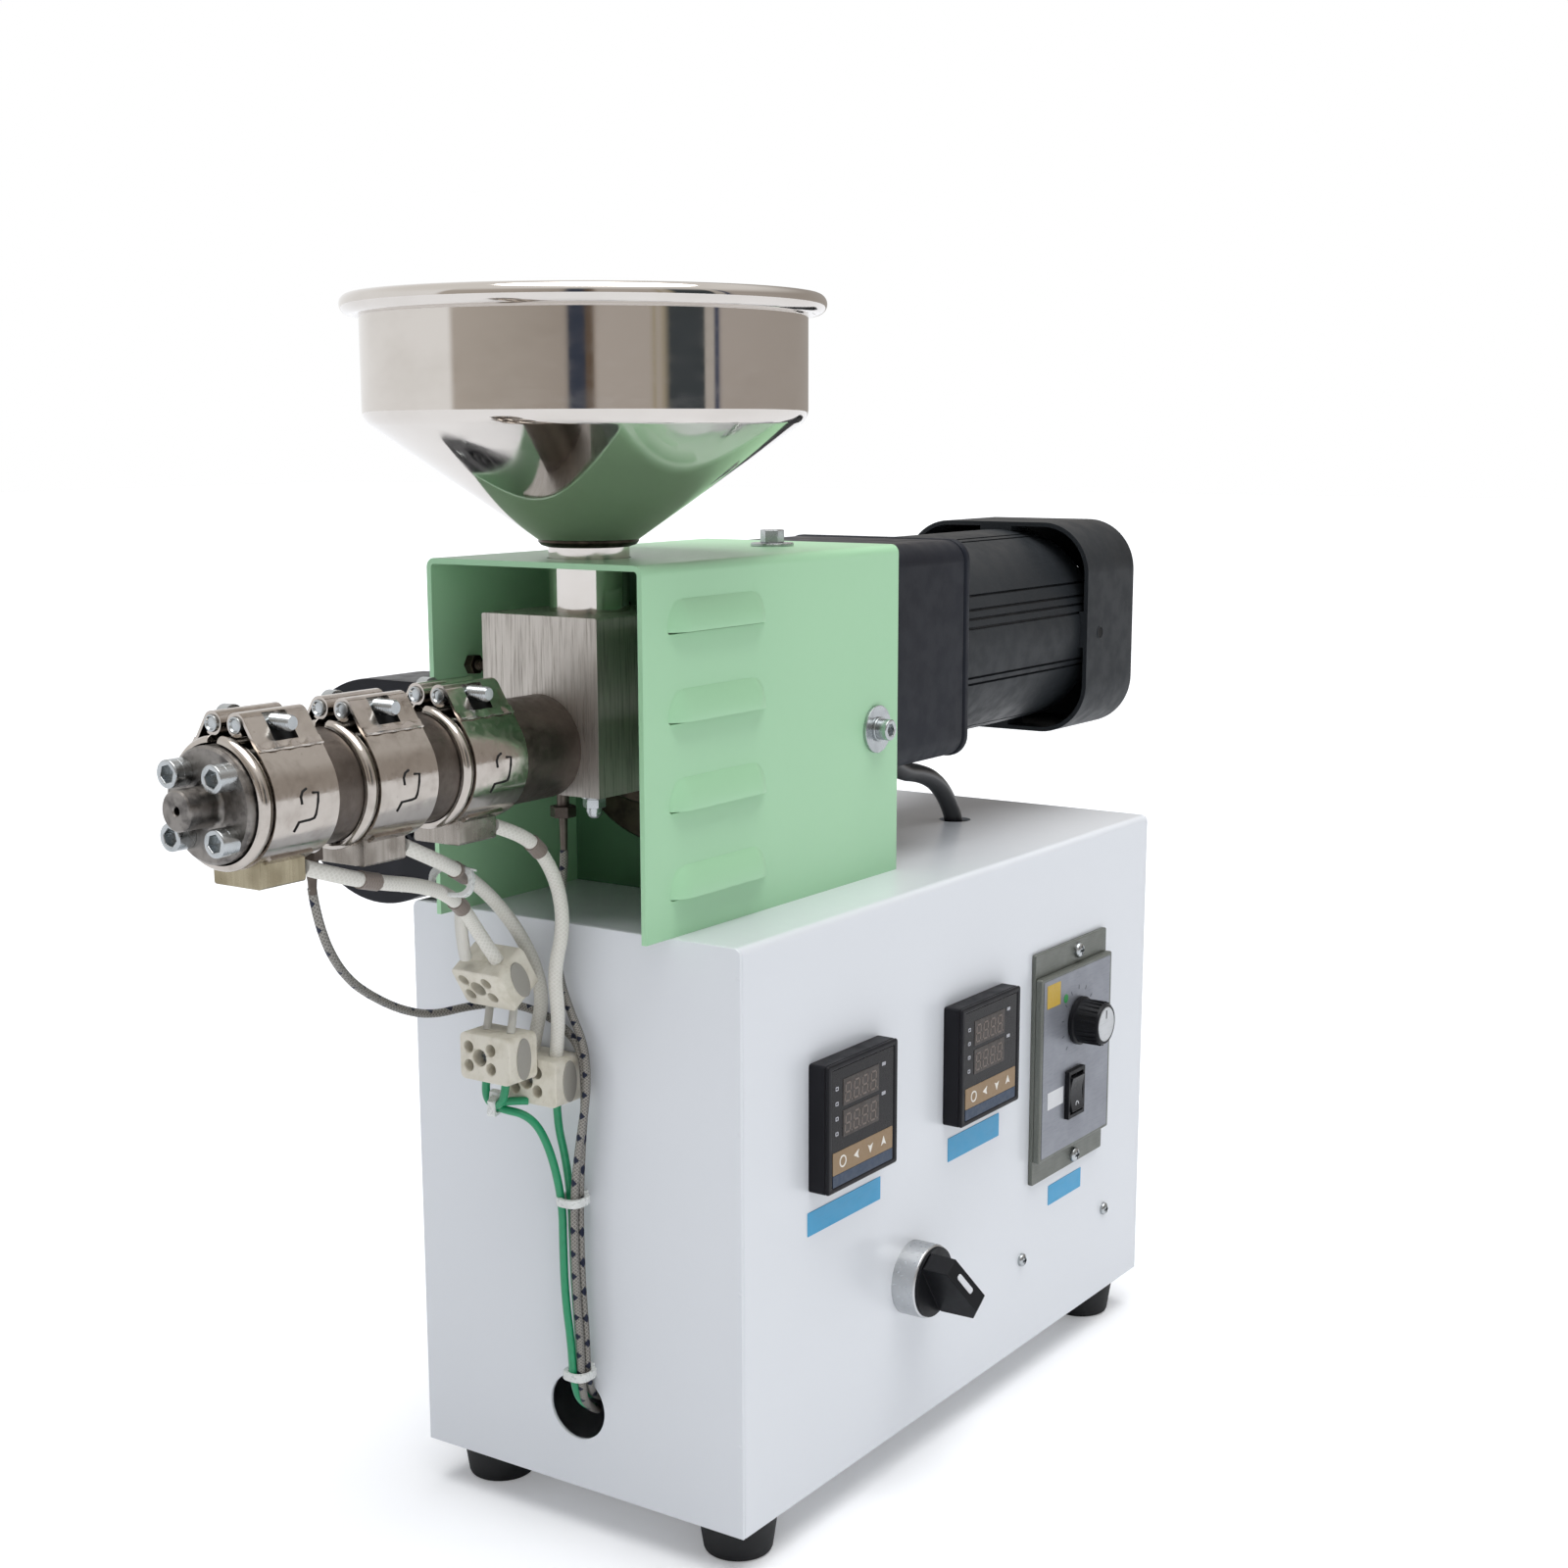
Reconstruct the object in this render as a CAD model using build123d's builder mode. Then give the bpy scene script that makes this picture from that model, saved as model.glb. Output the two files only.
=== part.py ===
"""Tabletop single screw extruder: white cabinet, green guard, feed block, heated barrel and gearmotor.

Millimetres, +Z up. +X runs along the screw from the nozzle to the motor, and the control panel faces -Y.
The origin is the middle of the machine's footprint, on the surface that the feet stand on.
"""
import os
from math import acos, atan2, cos, pi, radians, sin, tan

from build123d import *

os.makedirs("parts", exist_ok=True)

# Fits
fit = 0.3  # gap round curved pieces that sit in each other
slip = 1.0  # gap beside a piece that turns
running = 0.08  # gap round a shaft or pin in its hole

# Cabinet
cab_length = 322.0
cab_width = 149.0
cab_height = 215.0
cab_sheet = 1.5
cab_bend = 3.0
foot_height = 17.0
foot_top_dia = 31.0
foot_bottom_dia = 25.0
foot_inset_x = 22.0
foot_inset_y = 17.5
cable_hole_dia = 25.0
cable_hole_height = 31.8
motor_hole_x = 264.0
motor_hole_y = 67.0
motor_hole_dia = 14.0
hatch_length = 84.0
hatch_height = 76.0
hatch_low = 62.0
hatch_from_end = 14.0
hatch_sheet = 1.2

# Guard
guard_length = 164.0
guard_width = 95.0
guard_height = 128.0
guard_sheet = 2.0
guard_bend = 3.4
guard_overhang = 14.0
wall_thick = 3.0
wall_setback = 78.0  # from the guard's open front to the wall that carries the bearing
louvre_count = 4
louvre_pitch = 30.5
louvre_length = 58.0
louvre_height = 11.0
louvre_depth = 4.0
louvre_low = 13.5
louvre_setback = 14.0

# Screw axis, barrel and die
screw_height = 64.5  # above the cabinet's top
screw_offset = 76.5  # behind the panel face
screw_dia = 20.0
screw_core = 13.2
flight_pitch = 20.0
flight_width = 2.6
barrel_dia = 36.0
barrel_length = 145.0
spigot_dia = 26.0
spigot_length = 14.0
die_thick = 6.5
nozzle_length = 11.8
nozzle_dia = 12.4
nozzle_flare = 1.6
nozzle_bore = 2.5

# Feed block and its bearing
block_length = 56.0
block_width = 51.0
block_height = 61.5
block_rise = 48.0
block_setback = 3.5
throat_setback = 28.5
throat_dia = 26.0
hub_dia = 56.0
flange_dia = 90.0
flange_thick = 6.0

# Heater bands
band_count = 3
band_width = 28.5
band_pitch = 43.6
band_first = 12.9  # from the die's back face to the middle of the first band
band_sheet = 0.9
bead_dia = 2.2
loop_dia = 7.0
loop_bore = 5.0
loop_rise = 22.8
loop_gap = 4.2
strap_sheet = 1.0
clamp_screw_dia = 5.6
clamp_screw_reach = 23.0
clamp_screw_tail = 13.0
box_width = 20.0
box_length = 18.5
box_drop = 26.0

# Hopper
bowl_dia = 154.0
rim_roll = 6.5
bowl_height = 42.0
cone_height = 41.5
cone_end_dia = 34.5
neck_dia = 28.6
neck_height = 24.5
hopper_sheet = 1.2

# Thermocouple fitting under the block
probe_dia = 5.0
probe_nut = 8.5
probe_nut_height = 6.0
probe_length = 7.0
probe_stem_dia = 3.6
probe_stem = 11.0
probe_setback = 11.5
probe_gap = 7.1  # from the first heater band to the probe in the barrel

# Gearmotor
gearbox_width = 90.0
gearbox_length = 62.0
gearbox_corner = 9.0
gearbox_lip = 4.6  # band round its motor end
lip_height = 0.5
motor_rise = 18.0
motor_width = 88.0
motor_length = 118.0
groove_angles = (21.5, 17.5, -10.0, -15.0, -20.0, -28.0)  # from the middle of each side
groove_depth = 1.4
groove_width = 1.6
shroud_width = 95.0
shroud_corner = 23.0
shroud_length = 50.0
shroud_sheet = 2.0
shroud_tail = 153.0  # from the gearbox's rear to the back of the shroud
shroud_pad = 16.0
slot_count = 7
slot_width = 3.2
slot_pitch = 8.0

# Blower on the far side of the guard
blower_radius = 42.5
blower_thick = 32.0
blower_drop = 25.5  # its middle below the screw axis
blower_setback = 14.5
blower_outlet = 26.0
blower_wall = 2.0
intake_dia = 50.0

# Panel
controller_width = 48.0
controller_depth = 8.5
controller_edge = 42.0
controller_pitch = 96.5
controller_count = 2
controller_low = 117.0
window_width = 38.0
window_height = 24.0
window_depth = 0.8
plate_width = 66.0
plate_height = 100.5
plate_thick = 2.0
plate_edge = 212.0
plate_low = 71.0
face_height = 80.0
face_low = 81.0
face_rise = 3.0
knob_x = 246.0
knob_z = 137.0
knob_base_dia = 21.0
knob_tip_dia = 17.4
knob_length = 13.4
shaft_dia = 6.0
rocker_x = 242.0
rocker_z = 106.0
rocker_width = 15.0
rocker_height = 21.0
rocker_rim = 1.6
rocker_proud = 2.3
rocker_rise = 2.0
rocker_keel = 1.6
rocker_dip = 1.2
rocker_pin = 2.0
selector_x = 115.0
selector_z = 61.8
selector_dia = 29.0
selector_depth = 10.0
selector_pocket = 2.4
handle_dia = 27.4
handle_disc = 3.0
handle_bar = 8.0
handle_low = 11.0
handle_rise = 18.0
handle_tip = 15.0
handle_crest = 7.2
handle_angle = -56.6
spindle_dia = 6.0

# Terminal blocks
ceramic_width = 23.0
ceramic_height = 17.0
ceramic_depth = 15.0
ceramic_corner = 1.6
ceramic_holes = ((7.6, 3.4), (7.6, -3.4), (-2.6, 3.4), (-2.6, -3.4))  # from the middle of its front
wire_hole_dia = 4.4
fixing_hole_dia = 6.2
fixing_shift = 2.5
ceramic_hole_depth = 6.0
ceramic_places = ((-22.0, 90.0, 198.2), (-23.9, 87.6, 170.3), (-8.2, 80.0, 159.7))
ceramic_tilts = (-32.0, 0.0, 0.0)

# Places that follow from the sizes above
tip_reach = guard_overhang - block_setback + barrel_length + die_thick + nozzle_length
tail_reach = guard_length - guard_overhang + gearbox_length + shroud_tail
x_end = (tip_reach - tail_reach) / 2
handle_face = selector_depth - selector_pocket + slip / 2 + handle_disc
near_reach = handle_face + handle_rise
far_reach = screw_offset + guard_width / 2 + 2 * blower_radius
y_panel = (near_reach - far_reach) / 2
z_cab = foot_height
z_top = z_cab + cab_height
y_cab = y_panel + cab_width / 2
y_axis = y_panel + screw_offset
z_axis = z_top + screw_height
x_guard = x_end - guard_overhang
x_wall = x_guard + wall_setback
x_gearbox = x_guard + guard_length
x_block = x_guard + block_setback
x_flange = x_wall - flange_thick
z_block = z_top + block_rise
x_throat = x_block + throat_setback
x_die = x_block - barrel_length
z_guard = z_top + guard_height
z_motor = z_axis + motor_rise
band_inner = barrel_dia / 2 + fit
y_side = y_axis - guard_width / 2
x_louvre = x_guard + louvre_setback + louvre_depth
louvre_straight = louvre_length - 2 * louvre_depth


def across(x, y, z):
    """Plane square to the screw: its own x runs along +Y and its own y runs up."""
    return Plane(origin=(x, y, z), x_dir=(0, 1, 0), z_dir=(1, 0, 0))


def save(piece, name):
    """Label one finished piece and write it to its own file."""
    piece.part.label = name
    export_step(piece.part, f"parts/{name}.step")


def upright(width, height, corner):
    """Rectangle that stands on its local x axis, with rounded top corners."""
    with BuildSketch(mode=Mode.PRIVATE) as shape:
        with Locations((0, height / 2)):
            Rectangle(width, height)
        fillet(shape.vertices().group_by(Axis.Y)[-1], corner)
    return shape.sketch


# Cabinet: one bent sheet for panel side, top and far side, closed by two ends and a base
with BuildPart() as cabinet_cover:
    with BuildSketch(Plane.YZ.offset(x_end + cab_sheet)):
        with Locations((y_cab, z_cab)):
            add(upright(cab_width, cab_height, cab_bend))
            add(upright(cab_width - 2 * cab_sheet, cab_height - cab_sheet, cab_bend - cab_sheet),
                mode=Mode.SUBTRACT)
    extrude(amount=cab_length - 2 * cab_sheet)
    with Locations((x_end + motor_hole_x, y_panel + motor_hole_y, z_top)):
        Hole(motor_hole_dia / 2, depth=cab_sheet)
save(cabinet_cover, "cabinet_cover")

with BuildPart() as cabinet_front_end:
    with BuildSketch(Plane.YZ.offset(x_end)):
        with Locations((y_cab, z_cab)):
            add(upright(cab_width, cab_height, cab_bend))
        with Locations((y_cab, z_cab + cable_hole_height)):
            Circle(cable_hole_dia / 2, mode=Mode.SUBTRACT)
    extrude(amount=cab_sheet)
save(cabinet_front_end, "cabinet_front_end")

with BuildPart() as cabinet_rear_end:
    with BuildSketch(Plane.YZ.offset(x_end + cab_length - cab_sheet)):
        with Locations((y_cab, z_cab)):
            add(upright(cab_width, cab_height, cab_bend))
    extrude(amount=cab_sheet)
save(cabinet_rear_end, "cabinet_rear_end")

with BuildPart() as cabinet_base:
    with BuildSketch(Plane.XY.offset(z_cab)):
        with Locations((x_end + cab_length / 2, y_cab)):
            Rectangle(cab_length - 2 * cab_sheet, cab_width - 2 * cab_sheet)
    extrude(amount=cab_sheet)
save(cabinet_base, "cabinet_base")

with BuildPart() as side_hatch:
    with BuildSketch(Plane.XZ.offset(-y_panel - cab_width)):
        with Locations((x_end + hatch_from_end + hatch_length / 2, z_cab + hatch_low + hatch_height / 2)):
            RectangleRounded(hatch_length, hatch_height, cab_bend)
    extrude(amount=-hatch_sheet)
save(side_hatch, "side_hatch")

foot_x = (x_end + foot_inset_x, x_end + cab_length - foot_inset_x)
foot_y = (y_panel + foot_inset_y, y_panel + cab_width - foot_inset_y)
foot_places = [(x, y) for x in foot_x for y in foot_y]
foot_round = foot_height / 5
with BuildPart() as feet:
    for place in foot_places:
        with BuildSketch(Plane.XZ.offset(-place[1])):
            with BuildLine():
                FilletPolyline(
                    (place[0], 0),
                    (place[0] + foot_bottom_dia / 2, 0),
                    (place[0] + foot_top_dia / 2, foot_height),
                    (place[0], foot_height),
                    radius=(foot_round, fit),
                )
                Line((place[0], foot_height), (place[0], 0))
            make_face()
        revolve(axis=Axis((place[0], place[1], 0), (0, 0, 1)))
save(feet, "feet")

# Guard: an inverted U of sheet steel, open to the front, with pressed louvres on the panel side
with BuildPart() as guard_cover:
    with BuildSketch(Plane.YZ.offset(x_guard)):
        with Locations((y_axis, z_top)):
            add(upright(guard_width, guard_height, guard_bend))
            add(upright(guard_width - 2 * guard_sheet, guard_height - guard_sheet, guard_bend - guard_sheet),
                mode=Mode.SUBTRACT)
    extrude(amount=guard_length)
    with Locations((x_throat, y_axis, z_guard)):
        Hole(neck_dia / 2 + slip / 2, depth=guard_sheet)
    for step in range(louvre_count):
        lip = z_top + louvre_low + step * louvre_pitch
        for wall, mode in ((0, Mode.ADD), (guard_sheet, Mode.SUBTRACT)):
            depth = louvre_depth - wall / 2
            rise = louvre_height - wall
            with BuildSketch(Plane.YZ.offset(x_louvre)):
                with BuildLine():
                    Polyline((y_side + guard_sheet, lip), (y_side - depth, lip), (y_side - depth / 2, lip + rise * 0.7),
                             (y_side, lip + rise), (y_side + guard_sheet, lip + rise), close=True)
                make_face()
            extrude(amount=louvre_straight, mode=mode)
            for x, turn in ((x_louvre, 1), (x_louvre + louvre_straight, -1)):
                with BuildSketch(Plane.XZ.offset(-y_side)):
                    with BuildLine():
                        Polyline((x, lip), (x - turn * depth, lip), (x - turn * depth / 2, lip + rise * 0.7),
                                 (x, lip + rise), close=True)
                    make_face()
                revolve(axis=Axis((x, y_side, 0), (0, 0, 1)), revolution_arc=turn * 90, mode=mode)
save(guard_cover, "guard_cover")

inner_width = guard_width - 2 * guard_sheet
inner_height = guard_height - guard_sheet
with BuildPart() as bearing_wall:
    with BuildSketch(Plane.YZ.offset(x_wall)):
        with Locations((y_axis, z_top)):
            add(upright(inner_width, inner_height, guard_bend - guard_sheet))
    extrude(amount=wall_thick)
save(bearing_wall, "bearing_wall")

with BuildPart() as motor_plate:
    with BuildSketch(Plane.YZ.offset(x_gearbox - wall_thick)):
        with Locations((y_axis, z_top)):
            add(upright(inner_width, inner_height, guard_bend - guard_sheet))
    extrude(amount=wall_thick)
save(motor_plate, "motor_plate")

# Bearing housing between the wall and the feed block
with BuildPart() as bearing_housing:
    with BuildSketch(Plane.YZ.offset(x_flange)):
        with Locations((y_axis, z_axis)):
            Circle(flange_dia / 2)
    extrude(amount=flange_thick)
    with BuildSketch(Plane.YZ.offset(x_block + block_length)):
        with Locations((y_axis, z_axis)):
            Circle(hub_dia / 2)
    extrude(amount=x_flange - x_block - block_length)
save(bearing_housing, "bearing_housing")

with BuildPart() as feed_block:
    with BuildSketch(Plane.YZ.offset(x_block)):
        with Locations((y_axis, z_block + block_height / 2)):
            Rectangle(block_width, block_height)
    extrude(amount=block_length)
    with BuildSketch(Plane.YZ.offset(x_block)):
        with Locations((y_axis, z_axis)):
            Circle(spigot_dia / 2 + fit)
    extrude(amount=spigot_length + fit, mode=Mode.SUBTRACT)
    with BuildSketch(Plane.YZ.offset(x_block)):
        with Locations((y_axis, z_axis)):
            Circle(screw_dia / 2 + fit)
    extrude(amount=block_length, mode=Mode.SUBTRACT)
    with BuildSketch(Plane.XY.offset(z_block + block_height)):
        with Locations((x_throat, y_axis)):
            Circle(throat_dia / 2)
    extrude(amount=z_axis - z_block - block_height, mode=Mode.SUBTRACT)
    chamfer(feed_block.edges().filter_by(Axis.X).group_by(Axis.Z)[-1], slip / 2)
save(feed_block, "feed_block")

with BuildPart() as barrel:
    with BuildSketch(Plane.YZ.offset(x_die)):
        with Locations((y_axis, z_axis)):
            Circle(barrel_dia / 2)
    extrude(amount=barrel_length)
    with BuildSketch(Plane.YZ.offset(x_block)):
        with Locations((y_axis, z_axis)):
            Circle(spigot_dia / 2)
    extrude(amount=spigot_length)
    with BuildSketch(Plane.YZ.offset(x_die)):
        with Locations((y_axis, z_axis)):
            Circle(screw_dia / 2 + fit)
    extrude(amount=barrel_length + spigot_length, mode=Mode.SUBTRACT)
save(barrel, "barrel")

with BuildPart() as extrusion_screw:
    with BuildSketch(Plane.YZ.offset(x_die + slip)):
        with Locations((y_axis, z_axis)):
            Circle(screw_core / 2)
    extrude(amount=barrel_length + block_length - slip)
    root = Vector(x_die + 2 * slip, y_axis, z_axis)
    with BuildLine():
        thread = Helix(flight_pitch, barrel_length + block_length - 8 * slip, screw_core / 2, root, (1, 0, 0))
    with BuildSketch(Plane(thread @ 0, x_dir=(thread @ 0) - root, z_dir=thread % 0)):
        Rectangle(screw_dia - screw_core, flight_width)
    sweep(is_frenet=True)
save(extrusion_screw, "extrusion_screw")

# Die with its nozzle boss
with BuildPart() as die:
    with BuildSketch(Plane.YZ.offset(x_die - die_thick)):
        with Locations((y_axis, z_axis)):
            Circle(barrel_dia / 2)
    extrude(amount=die_thick)
    with BuildSketch(Plane.YZ.offset(x_die - die_thick - nozzle_length)):
        with Locations((y_axis, z_axis)):
            Circle(nozzle_dia / 2)
    extrude(amount=nozzle_length)
    root_edge = die.edges().filter_by(GeomType.CIRCLE).filter_by(lambda edge: edge.radius < barrel_dia / 2 - slip)
    fillet(root_edge.sort_by(Axis.X)[-1], nozzle_flare)
    with BuildSketch(Plane.YZ.offset(x_die - die_thick - nozzle_length)):
        with Locations((y_axis, z_axis)):
            Circle(nozzle_bore / 2)
    extrude(amount=die_thick + nozzle_length, mode=Mode.SUBTRACT)
save(die, "die")

# Heater bands: a split, beaded sheet ring with a terminal box under it, and a clamp of two looped straps
band_outer = band_inner + band_sheet
strap_outer = band_outer + fit / 2 + strap_sheet
loop_side = (loop_gap + loop_dia) / 2
loop_radius = loop_dia / 2
loop_away = Vector(loop_side, loop_rise)
strap_lean = atan2(loop_rise, loop_side) - acos((strap_outer - loop_radius) / loop_away.length)
lean = Vector(cos(strap_lean), sin(strap_lean))
strap_shape = [
    lean * strap_outer,
    lean * (strap_outer - strap_sheet),
    loop_away + lean * (loop_radius - strap_sheet),
    loop_away + lean * loop_radius,
]

for number in range(1, band_count + 1):
    middle = x_die + band_first + (number - 1) * band_pitch
    front = middle - band_width / 2
    strap_front = front + bead_dia + fit
    strap_width = band_width - bead_dia - fit
    strap_middle = strap_front + strap_width / 2
    with BuildPart() as band:
        with BuildSketch(Plane.YZ.offset(front)):
            with Locations((y_axis, z_axis)):
                Circle(band_outer)
                Circle(band_inner, mode=Mode.SUBTRACT)
        extrude(amount=band_width)
        with BuildSketch(Plane.XZ.offset(-y_axis)):
            with Locations((front + bead_dia / 2, z_axis + band_inner + bead_dia / 2)):
                Circle(bead_dia / 2)
        revolve(axis=Axis((0, y_axis, z_axis), (1, 0, 0)))
        with BuildSketch(Plane.YZ.offset(front)):
            with Locations((y_axis, z_axis + barrel_dia)):
                Rectangle(loop_gap, 2 * barrel_dia)
        extrude(amount=band_width, mode=Mode.SUBTRACT)
    save(band, f"heater_band_{number}")

    with BuildPart() as clamp:
        with BuildSketch(across(strap_front, y_axis, z_axis)):
            with Locations((loop_away.X, loop_away.Y)):
                Circle(loop_radius)
            with BuildLine():
                Polyline(*strap_shape, close=True)
            make_face()
            with Locations((loop_away.X, loop_away.Y)):
                Circle(loop_bore / 2, mode=Mode.SUBTRACT)
        extrude(amount=strap_width)
        with BuildSketch(Plane.XZ.offset(-y_axis)):
            with Locations((strap_middle, z_axis + loop_rise)):
                Circle(clamp_screw_dia / 2 + slip / 2)
            with Locations((strap_middle, z_axis + loop_rise + loop_radius / 2)):
                Rectangle(clamp_screw_dia + slip, loop_radius)
        extrude(amount=-barrel_dia, mode=Mode.SUBTRACT)
        mirror(about=Plane.XZ.offset(-y_axis))
    with BuildPart() as clamp_screw:
        with BuildSketch(Plane.XZ.offset(clamp_screw_reach - y_axis)):
            with Locations((strap_middle, z_axis + loop_rise)):
                Circle(clamp_screw_dia / 2)
        extrude(amount=-clamp_screw_reach - clamp_screw_tail)
        with BuildSketch(across(strap_front, y_axis, z_axis + loop_rise)):
            with GridLocations(2 * loop_side, 0, 2, 1):
                Circle(loop_bore / 2 - fit)
        extrude(amount=strap_width)
    with BuildPart() as clamp_set:
        add(clamp.part)
        add(clamp_screw.part)
    save(clamp_set, f"band_clamp_{number}")

    with BuildPart() as terminal_box:
        with BuildSketch(Plane.XY.offset(z_axis - box_drop)):
            with Locations((middle, y_axis)):
                Rectangle(box_length, box_width)
        extrude(amount=box_drop)
        fillet(terminal_box.edges().filter_by(Axis.X).group_by(Axis.Z)[0], slip)
        with BuildSketch(Plane.YZ.offset(front)):
            with Locations((y_axis, z_axis)):
                Circle(band_outer + fit)
        extrude(amount=band_width, mode=Mode.SUBTRACT)
    save(terminal_box, f"terminal_box_{number}")

# Thermocouples: a hexagon fitting and a thin stem, one in the barrel and one in the feed block
x_probe_1 = x_die + band_first + band_width / 2 + probe_gap
x_probe_2 = x_block + probe_setback
for number, (x, top) in enumerate(((x_probe_1, z_axis - barrel_dia / 2), (x_probe_2, z_block)), 1):
    with BuildPart() as probe:
        with BuildSketch(Plane.XY.offset(top)):
            with Locations((x, y_axis)):
                Circle(probe_dia / 2)
        extrude(amount=-probe_length)
        with BuildSketch(Plane.XY.offset(top - probe_length)):
            with Locations((x, y_axis)):
                RegularPolygon(probe_nut / 2, 6, major_radius=False)
        extrude(amount=-probe_nut_height)
        with BuildSketch(Plane.XY.offset(top - probe_length - probe_nut_height)):
            with Locations((x, y_axis)):
                Circle(probe_stem_dia / 2)
        extrude(amount=-probe_stem)
    save(probe, f"thermocouple_{number}")

# Hopper: one spun sheet, standing on the block round its throat
z_hopper = z_block + block_height
z_cone = z_hopper + neck_height
z_bowl = z_cone + cone_height
z_rim = z_bowl + bowl_height
rim_dia = bowl_dia + 2 * rim_roll
bead_radius = (2 * rim_roll + hopper_sheet) / 4
with BuildPart() as hopper:
    with BuildSketch(Plane.XZ.offset(-y_axis)):
        with BuildLine() as wall:
            FilletPolyline(
                (x_throat + neck_dia / 2, z_hopper),
                (x_throat + neck_dia / 2, z_cone - hopper_sheet),
                (x_throat + cone_end_dia / 2, z_cone),
                (x_throat + bowl_dia / 2, z_bowl),
                (x_throat + bowl_dia / 2, z_rim - hopper_sheet),
                radius=(hopper_sheet, 2 * hopper_sheet, 5 * hopper_sheet),
            )
            offset(amount=hopper_sheet, side=Side.LEFT)
        make_face()
        with Locations((x_throat + rim_dia / 2 - bead_radius, z_rim - bead_radius)):
            Circle(bead_radius)
    revolve(axis=Axis((x_throat, y_axis, 0), (0, 0, 1)))
save(hopper, "hopper")

# Gearmotor: gearbox flanged to the motor plate, ribbed motor, and the cover of its cooling fan
with BuildPart() as gearbox:
    with BuildSketch(Plane.YZ.offset(x_gearbox)):
        with Locations((y_axis, z_motor)):
            RectangleRounded(gearbox_width - 2 * lip_height, gearbox_width - 2 * lip_height, gearbox_corner)
    extrude(amount=gearbox_length)
    with BuildSketch(Plane.YZ.offset(x_gearbox + gearbox_length - gearbox_lip)):
        with Locations((y_axis, z_motor)):
            RectangleRounded(gearbox_width, gearbox_width, gearbox_corner)
    extrude(amount=gearbox_lip)
    chamfer(gearbox.faces().sort_by(Axis.X)[-1].edges(), slip)
save(gearbox, "gearbox")

x_motor = x_gearbox + gearbox_length
x_shroud = x_motor + shroud_tail - shroud_length
with BuildPart() as motor_body:
    with BuildSketch(Plane.YZ.offset(x_motor)):
        with Locations((y_axis, z_motor)):
            Circle(motor_width / 2)
            for angle in groove_angles:
                with PolarLocations(motor_width / 2, 4, start_angle=angle):
                    Rectangle(2 * groove_depth, groove_width, mode=Mode.SUBTRACT)
    extrude(amount=motor_length)
save(motor_body, "motor_body")

shroud_inner = shroud_width - 2 * shroud_sheet
with BuildPart() as motor_shroud:
    with BuildSketch(Plane.YZ.offset(x_shroud)):
        with Locations((y_axis, z_motor)):
            RectangleRounded(shroud_width, shroud_width, shroud_corner)
    extrude(amount=shroud_length)
    fillet(motor_shroud.faces().sort_by(Axis.X)[-1].edges(), 2 * shroud_sheet)
    with BuildSketch(Plane.YZ.offset(x_shroud)):
        with Locations((y_axis, z_motor)):
            RectangleRounded(shroud_inner, shroud_inner, shroud_corner - shroud_sheet)
    extrude(amount=shroud_length - shroud_sheet, mode=Mode.SUBTRACT)
    with BuildSketch(Plane.YZ.offset(x_shroud)):
        with Locations((y_axis, z_motor)):
            with PolarLocations(shroud_inner / 2, 4):
                Rectangle(shroud_inner - motor_width + 2 * slip, shroud_pad)
            RectangleRounded(shroud_width, shroud_width, shroud_corner, mode=Mode.INTERSECT)
            Circle(motor_width / 2, mode=Mode.SUBTRACT)
    extrude(amount=x_motor + motor_length - x_shroud)
    with BuildSketch(Plane.YZ.offset(x_shroud + shroud_length)):
        with Locations((y_axis, z_motor)):
            for step in range(slot_count):
                rise = (step - (slot_count - 1) / 2) * slot_pitch
                reach = shroud_width - 2 * shroud_corner - abs(rise) / 2
                with Locations((0, rise)):
                    SlotOverall(reach, slot_width)
    extrude(amount=-2 * shroud_sheet, mode=Mode.SUBTRACT)
save(motor_shroud, "motor_shroud")

# Blower: a scroll housing on the guard's far plate, its outlet blowing across the feed block
x_blower = x_guard + blower_setback
y_blower = y_axis + guard_width / 2 + blower_radius
z_blower = z_axis - blower_drop
with BuildPart() as blower_housing:
    for inset, mode in ((0, Mode.ADD), (blower_wall, Mode.SUBTRACT)):
        with BuildSketch(Plane.YZ.offset(x_blower + inset)):
            with Locations((y_blower, z_blower)):
                Circle(blower_radius - inset)
                with Locations((-blower_radius / 2, blower_radius - blower_outlet / 2)):
                    Rectangle(blower_radius, blower_outlet - 2 * inset)
        extrude(amount=blower_thick - 2 * inset, mode=mode)
    with BuildSketch(Plane.YZ.offset(x_blower)):
        with Locations((y_blower, z_blower)):
            Circle(intake_dia / 2)
    extrude(amount=blower_wall, mode=Mode.SUBTRACT)
    with BuildSketch(Plane.YZ.offset(x_blower + blower_thick - blower_wall)):
        with Locations((y_blower, z_blower)):
            Circle(intake_dia * 0.45)
    extrude(amount=-blower_thick / 2)
save(blower_housing, "blower_housing")

# Panel: two controllers, the speed control with its knob and rocker switch, and the selector
z_controller = z_cab + controller_low + controller_width / 2
for number in range(1, controller_count + 1):
    x_controller = x_end + controller_edge + controller_width / 2 + (number - 1) * controller_pitch
    with BuildPart() as controller:
        with BuildSketch(Plane.XZ.offset(-y_panel)):
            with Locations((x_controller, z_controller)):
                RectangleRounded(controller_width, controller_width, slip)
        extrude(amount=controller_depth)
        fillet(controller.faces().sort_by(Axis.Y)[0].edges(), slip / 2)
        with BuildSketch(Plane.XZ.offset(controller_depth - y_panel)):
            with Locations((x_controller, z_controller + (controller_width - window_height) / 2 - 5 * slip)):
                Rectangle(window_width, window_height)
        extrude(amount=-window_depth, mode=Mode.SUBTRACT)
    save(controller, f"controller_{number}")

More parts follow.
